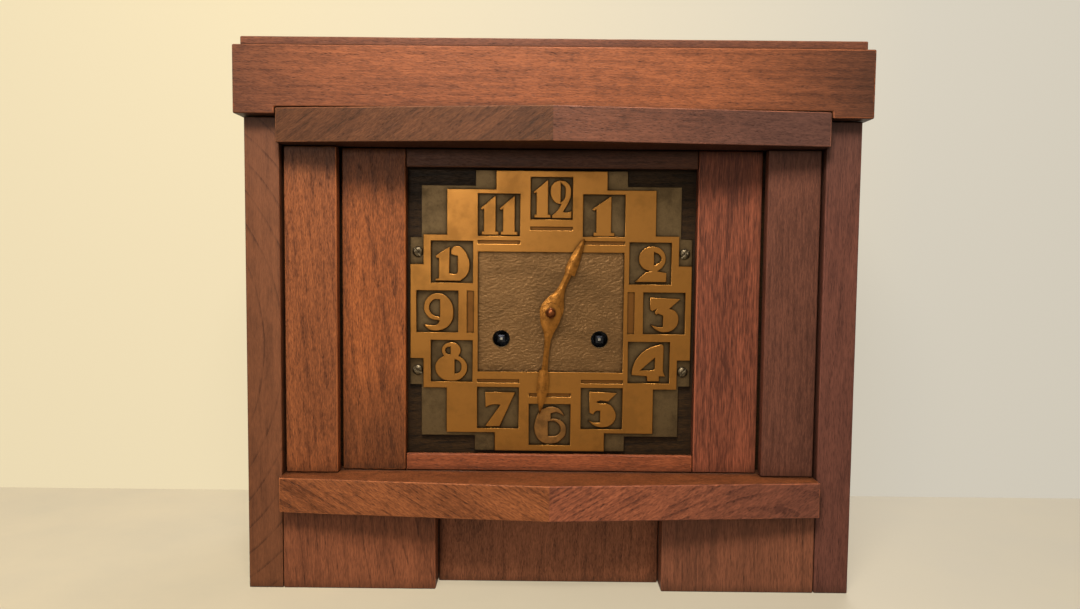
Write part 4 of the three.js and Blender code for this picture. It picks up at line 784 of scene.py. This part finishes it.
# The dial's screws: four round-headed slotted steel screws that hold the casting to the panel.
# Their heads have dulled, and each slot stopped at its own angle.
def lathe(name, profile, place, sides=32):
    """A turned piece along Y through a place, from a profile of radius and distance along, in metres."""
    shape = bmesh.new()
    rings = []
    for radius, along in profile:
        count = 1 if radius == 0 else sides
        turn = [2 * math.pi * i / sides for i in range(count)]
        rings.append([shape.verts.new((radius * math.cos(a), along, radius * math.sin(a))) for a in turn])
    for one, two in zip(rings, rings[1:]):
        for i in range(sides):
            j = (i + 1) % sides
            corners = [one[i % len(one)], one[j % len(one)], two[j % len(two)], two[i % len(two)]]
            shape.faces.new(list(dict.fromkeys(corners)))
    bmesh.ops.recalc_face_normals(shape, faces=shape.faces)
    bmesh.ops.translate(shape, verts=shape.verts, vec=place)
    return worked(name, shape)


def cut_away(made, tool):
    """Cuts a tool's shape out of a piece for good."""
    knife = made.modifiers.new("cut", "BOOLEAN")
    knife.object = tool
    knife.solver = "EXACT"
    mesh = settled(made)
    made.modifiers.remove(knife)
    made.data = mesh
    bpy.data.objects.remove(tool)


def slab(name, half, place, turn):
    """A block about a place, turned about Y."""
    shape = bmesh.new()
    bmesh.ops.create_cube(shape, size=2)
    spin = Matrix.Translation(place) @ Matrix.Rotation(turn, 4, "Y") @ Matrix.Diagonal((*half, 1))
    bmesh.ops.transform(shape, verts=shape.verts, matrix=spin)
    return worked(name, shape)


DOME = [(0, 1), (0.35, 0.95), (0.65, 0.78), (0.86, 0.5), (0.97, 0.18), (1, 0)]


def slotted_screw(name, place, radius, rise, depth, turn, front=-1):
    """A round screw head that stands towards the front, with its slot and a stub of its shank."""
    x, y, z = place
    profile = [(radius * out, front * rise * up) for out, up in DOME]
    profile += [(radius * 0.5, 0), (radius * 0.45, -front * depth), (0, -front * depth)]
    made = lathe(name, profile, place)
    slot_half = (radius * 1.2, rise * 0.6, radius * 0.2)
    cut_away(made, slab("slot", slot_half, (x, y + front * rise * 0.8, z), turn))
    smooth_all(made)
    return made


SCREW_STEEL = metal("screw_steel", shade(108, 96, 77), shade(50, 42, 32), 0.36, cloud=500, pit=3000)
SCREW_SEAT = GROUND - 0.25 * MM
for name, turn in [("upper_left", 0.9), ("upper_right", -0.8), ("lower_left", 0.6), ("lower_right", -0.9)]:
    low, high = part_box("dial_screw_" + name)
    place = ((low.x + high.x) / 2, SCREW_SEAT, (low.z + high.z) / 2)
    screw = slotted_screw("screw_" + name, place, 3.1 * MM, 1.2 * MM, 7.5 * MM, turn)
    dress(screw, "case", "steel", SCREW_STEEL)
    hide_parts("dial_screw_" + name)

# The hands: cast brass with a ridge down the middle, a leaf-shaped boss, a thin stem and a barbed blade.
# The hour hand is pressed on the hour wheel's pipe and the minute hand on the centre arbor's cannon.
HAND_BRASS = metal("hand_brass", shade(152, 101, 45), shade(106, 68, 30), 0.32, cloud=260, polish_and_shade=CAKED_POLISH_AND_SHADE,
                   reach=1.5 * MM)
HAND_SECTION = [(-1, 1), (-1, 0.62), (-0.82, 0.42), (0, 0), (0.82, 0.42), (1, 0.62), (1, 1)]
DRILL_PAST = 1 * MM
RIDGE_ANGLE = math.radians(30)


def clock_hand(node, body, stations, degrees, bore):
    """A ridged hand through stations of distance from the middle, left and right half widths, in millimetres.

    The section gives shares of the half width to either side and of the thickness behind the ridge."""
    low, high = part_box(node)
    thick = high.y - low.y
    angle = math.radians(degrees)
    along = Vector((math.sin(angle), 0, math.cos(angle)))
    across = Vector((math.cos(angle), 0, -math.sin(angle)))
    middle = Vector((DIAL_X, 0, DIAL_Z))
    shape = bmesh.new()
    sections = []
    for reach, left, right in stations:
        section = []
        for share, deep in HAND_SECTION:
            wide = share * (left if share < 0 else right)
            place = middle + along * reach * MM + across * wide * MM + Vector((0, low.y + deep * thick, 0))
            section.append(shape.verts.new(place))
        sections.append(section)
    for one, two in zip(sections, sections[1:]):
        for i in range(len(HAND_SECTION)):
            j = (i + 1) % len(HAND_SECTION)
            shape.faces.new([one[i], one[j], two[j], two[i]])
    shape.faces.new(sections[0])
    shape.faces.new(sections[-1])
    bmesh.ops.recalc_face_normals(shape, faces=shape.faces)
    made = worked(node + "_casting", shape)
    start, end = low.y - DRILL_PAST, high.y + DRILL_PAST
    cut_away(made, lathe("drill", [(0, start), (bore * MM, start), (bore * MM, end), (0, end)], middle))
    made.data.set_sharp_from_angle(angle=RIDGE_ANGLE)
    smooth_all(made)
    dress(made, body, "hand_brass", HAND_BRASS)
    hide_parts(node)


clock_hand("hour_hand", "hour_work", [
    (-7, 0.9, 0.9), (-6, 3, 3), (-4, 5.2, 5.2), (-1, 6.7, 6.7), (2, 6.9, 6.9), (5, 6.3, 6.3), (8.5, 4.9, 4.9),
    (12, 3.2, 3.2), (15.5, 2.2, 2.2), (19, 1.9, 1.9), (23, 2, 2), (25.2, 2.2, 2), (25.5, 2.4, 3.9),
    (28.4, 3.2, 3.6), (32, 3.3, 3.4), (37, 2.9, 2.7), (42, 2.1, 1.9), (46, 1.2, 1), (48, 0.25, 0.2)], 24, 4.5)
clock_hand("minute_hand", "minute_work", [
    (-6.4, 0.9, 0.9), (-5.4, 2.8, 2.8), (-3.6, 4.8, 4.8), (-1, 6.1, 6.1), (2, 6.3, 6.3), (5, 5.7, 5.7),
    (8.5, 4.4, 4.4), (12, 2.9, 2.9), (16, 1.9, 1.9), (21, 1.6, 1.6), (28, 1.6, 1.6), (34.2, 1.8, 1.8),
    (34.6, 2.2, 2.9), (38, 2.9, 3.2), (42, 3.3, 3.4), (46, 3.5, 3.4), (50, 2.9, 2.7), (54, 1.9, 1.7),
    (57.5, 1.1, 1), (60, 0.5, 0.45), (61, 0.2, 0.2)], 185.7, 3.1)

# The hand nut: a small domed bronze nut on the end of the centre arbor, dark with age.
# It is turned with a rim, and presses the minute hand home.
low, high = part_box("hand_nut")
NUT_PROFILE = [(1.5, high.y - 0.95 * MM), (1.5, high.y), (3, high.y), (3, high.y - 0.7 * MM),
               (2.75, high.y - 0.9 * MM), (2.35, high.y - 0.95 * MM), (2.3, low.y + 0.9 * MM),
               (1.9, low.y + 0.35 * MM), (1.1, low.y + 0.05 * MM), (0, low.y)]
nut = lathe("hand_nut_turning", [(radius * MM, along) for radius, along in NUT_PROFILE], (DIAL_X, 0, DIAL_Z))
smooth_all(nut)
DARK_BRONZE = metal("dark_bronze", shade(120, 70, 40), shade(62, 34, 20), 0.28, cloud=700)
dress(nut, "minute_work", "bronze", DARK_BRONZE)
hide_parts("hand_nut")

# The hinges and the turn button of the back door: rolled brass leaves on a pin, each held by slotted screws.
# The brass has dulled to a brown gold.
HINGE_BRASS = metal("hinge_brass", shade(176, 136, 74), shade(142, 106, 56), 0.36, cloud=120)
LEAF_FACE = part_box("back_door")[1].y + 1.5 * MM
LEAF_INSET = 4.5 * MM
for level in ("upper", "lower"):
    for body, way in [("case", 1), ("door", -1)]:
        leaf = f"hinge_{level}_{body}_leaf"
        ease(leaf, 0.25 * MM)
        coat(leaf, HINGE_BRASS)
        low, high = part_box(leaf)
        edge = high.x if way > 0 else low.x
        for share, turn in [(0.18, 0.5), (0.82, 1.9)]:
            name = f"hinge_screw_{level}_{body}_{round(share * 100)}"
            place = (edge - way * LEAF_INSET, LEAF_FACE, low.z + (high.z - low.z) * share)
            screw = slotted_screw(name, place, 2 * MM, 0.6 * MM, 1.1 * MM, turn, front=1)
            dress(screw, body, "hinge_brass", HINGE_BRASS)
ease("door_catch", 0.5 * MM)
coat("door_catch", HINGE_BRASS)
low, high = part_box("door_catch")
place = ((low.x + high.x) / 2, high.y, (low.z + high.z) / 2)
screw = slotted_screw("catch_screw", place, 2.6 * MM, 0.9 * MM, 1 * MM, 0.7, front=1)
dress(screw, "catch", "hinge_brass", HINGE_BRASS)

# The movement: two brass plates on four pillars, with the spring barrels, wheels and pinions between them.
# Plates and wheels are rolled brass, lacquered and now mellow. Their edges are only lightly broken.
PLATE_BRASS = metal("plate_brass", shade(198, 158, 88), shade(178, 138, 74), 0.3, cloud=60)
WHEEL_BRASS = metal("wheel_brass", shade(214, 172, 92), shade(168, 126, 60), 0.26, cloud=120)
for node in ("movement_front_plate", "movement_back_plate"):
    ease(node, 0.3 * MM)
    coat(node, PLATE_BRASS)
for node in ("pillar_upper_left", "pillar_upper_right", "pillar_lower_left", "pillar_lower_right",
             "time_barrel", "strike_barrel", "second_wheel", "centre_arbor", "third_wheel", "escape_wheel",
             "minute_wheel", "hour_wheel", "pin_wheel", "pendulum_bob"):
    coat(node, WHEEL_BRASS)

# The steel work: winding arbors with their ratchets, clicks, hammer, anchor, pendulum rod and gong rod.
# Grey hardened steel, the arbors blued with bright rubbed ends, and the gong's foot of black cast iron.
WORK_STEEL = metal("work_steel", shade(150, 150, 150), shade(92, 90, 88), 0.3, cloud=150)
BLUED_STEEL = metal("blued_steel", shade(58, 60, 68), shade(26, 26, 30), 0.25, cloud=400)
BRIGHT_STEEL = metal("rubbed_steel", shade(196, 196, 196), shade(120, 120, 124), 0.2, cloud=900)
BLACK_IRON = metal("black_iron", shade(52, 50, 48), shade(34, 32, 31), 0.5, cloud=150, metallic=0.6, bump=0.5)
for node in ("time_click", "strike_click", "hammer", "anchor", "pendulum_rod", "gong_rod"):
    coat(node, WORK_STEEL)
SQUARE = [(-1, -1), (1, -1), (1, 1), (-1, 1)]
TIP_RIMS = [(2.25, 0), (2.1, -0.15), (1, -0.55), (0.7, -0.6)]
for train in ("time", "strike"):
    coat(train + "_winding_arbor", BLUED_STEEL)
    low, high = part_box(train + "_winding_arbor")
    x, z = (low.x + high.x) / 2, (low.z + high.z) / 2
    shape = bmesh.new()
    rims = [[shape.verts.new((x + a * half * MM, low.y + y * MM, z + b * half * MM)) for a, b in SQUARE]
            for half, y in TIP_RIMS]
    for one, two in zip(rims, rims[1:]):
        for i in range(4):
            shape.faces.new([one[i], one[(i + 1) % 4], two[(i + 1) % 4], two[i]])
    shape.faces.new(rims[-1]).material_index = 1
    shape.faces.new(rims[0])
    bmesh.ops.recalc_face_normals(shape, faces=shape.faces)
    dress(worked(train + "_winding_tip", shape), train + "_winding_work", "steel", BLUED_STEEL, BRIGHT_STEEL)
ease("gong_block", 1.2 * MM, 3)
coat("gong_block", BLACK_IRON)
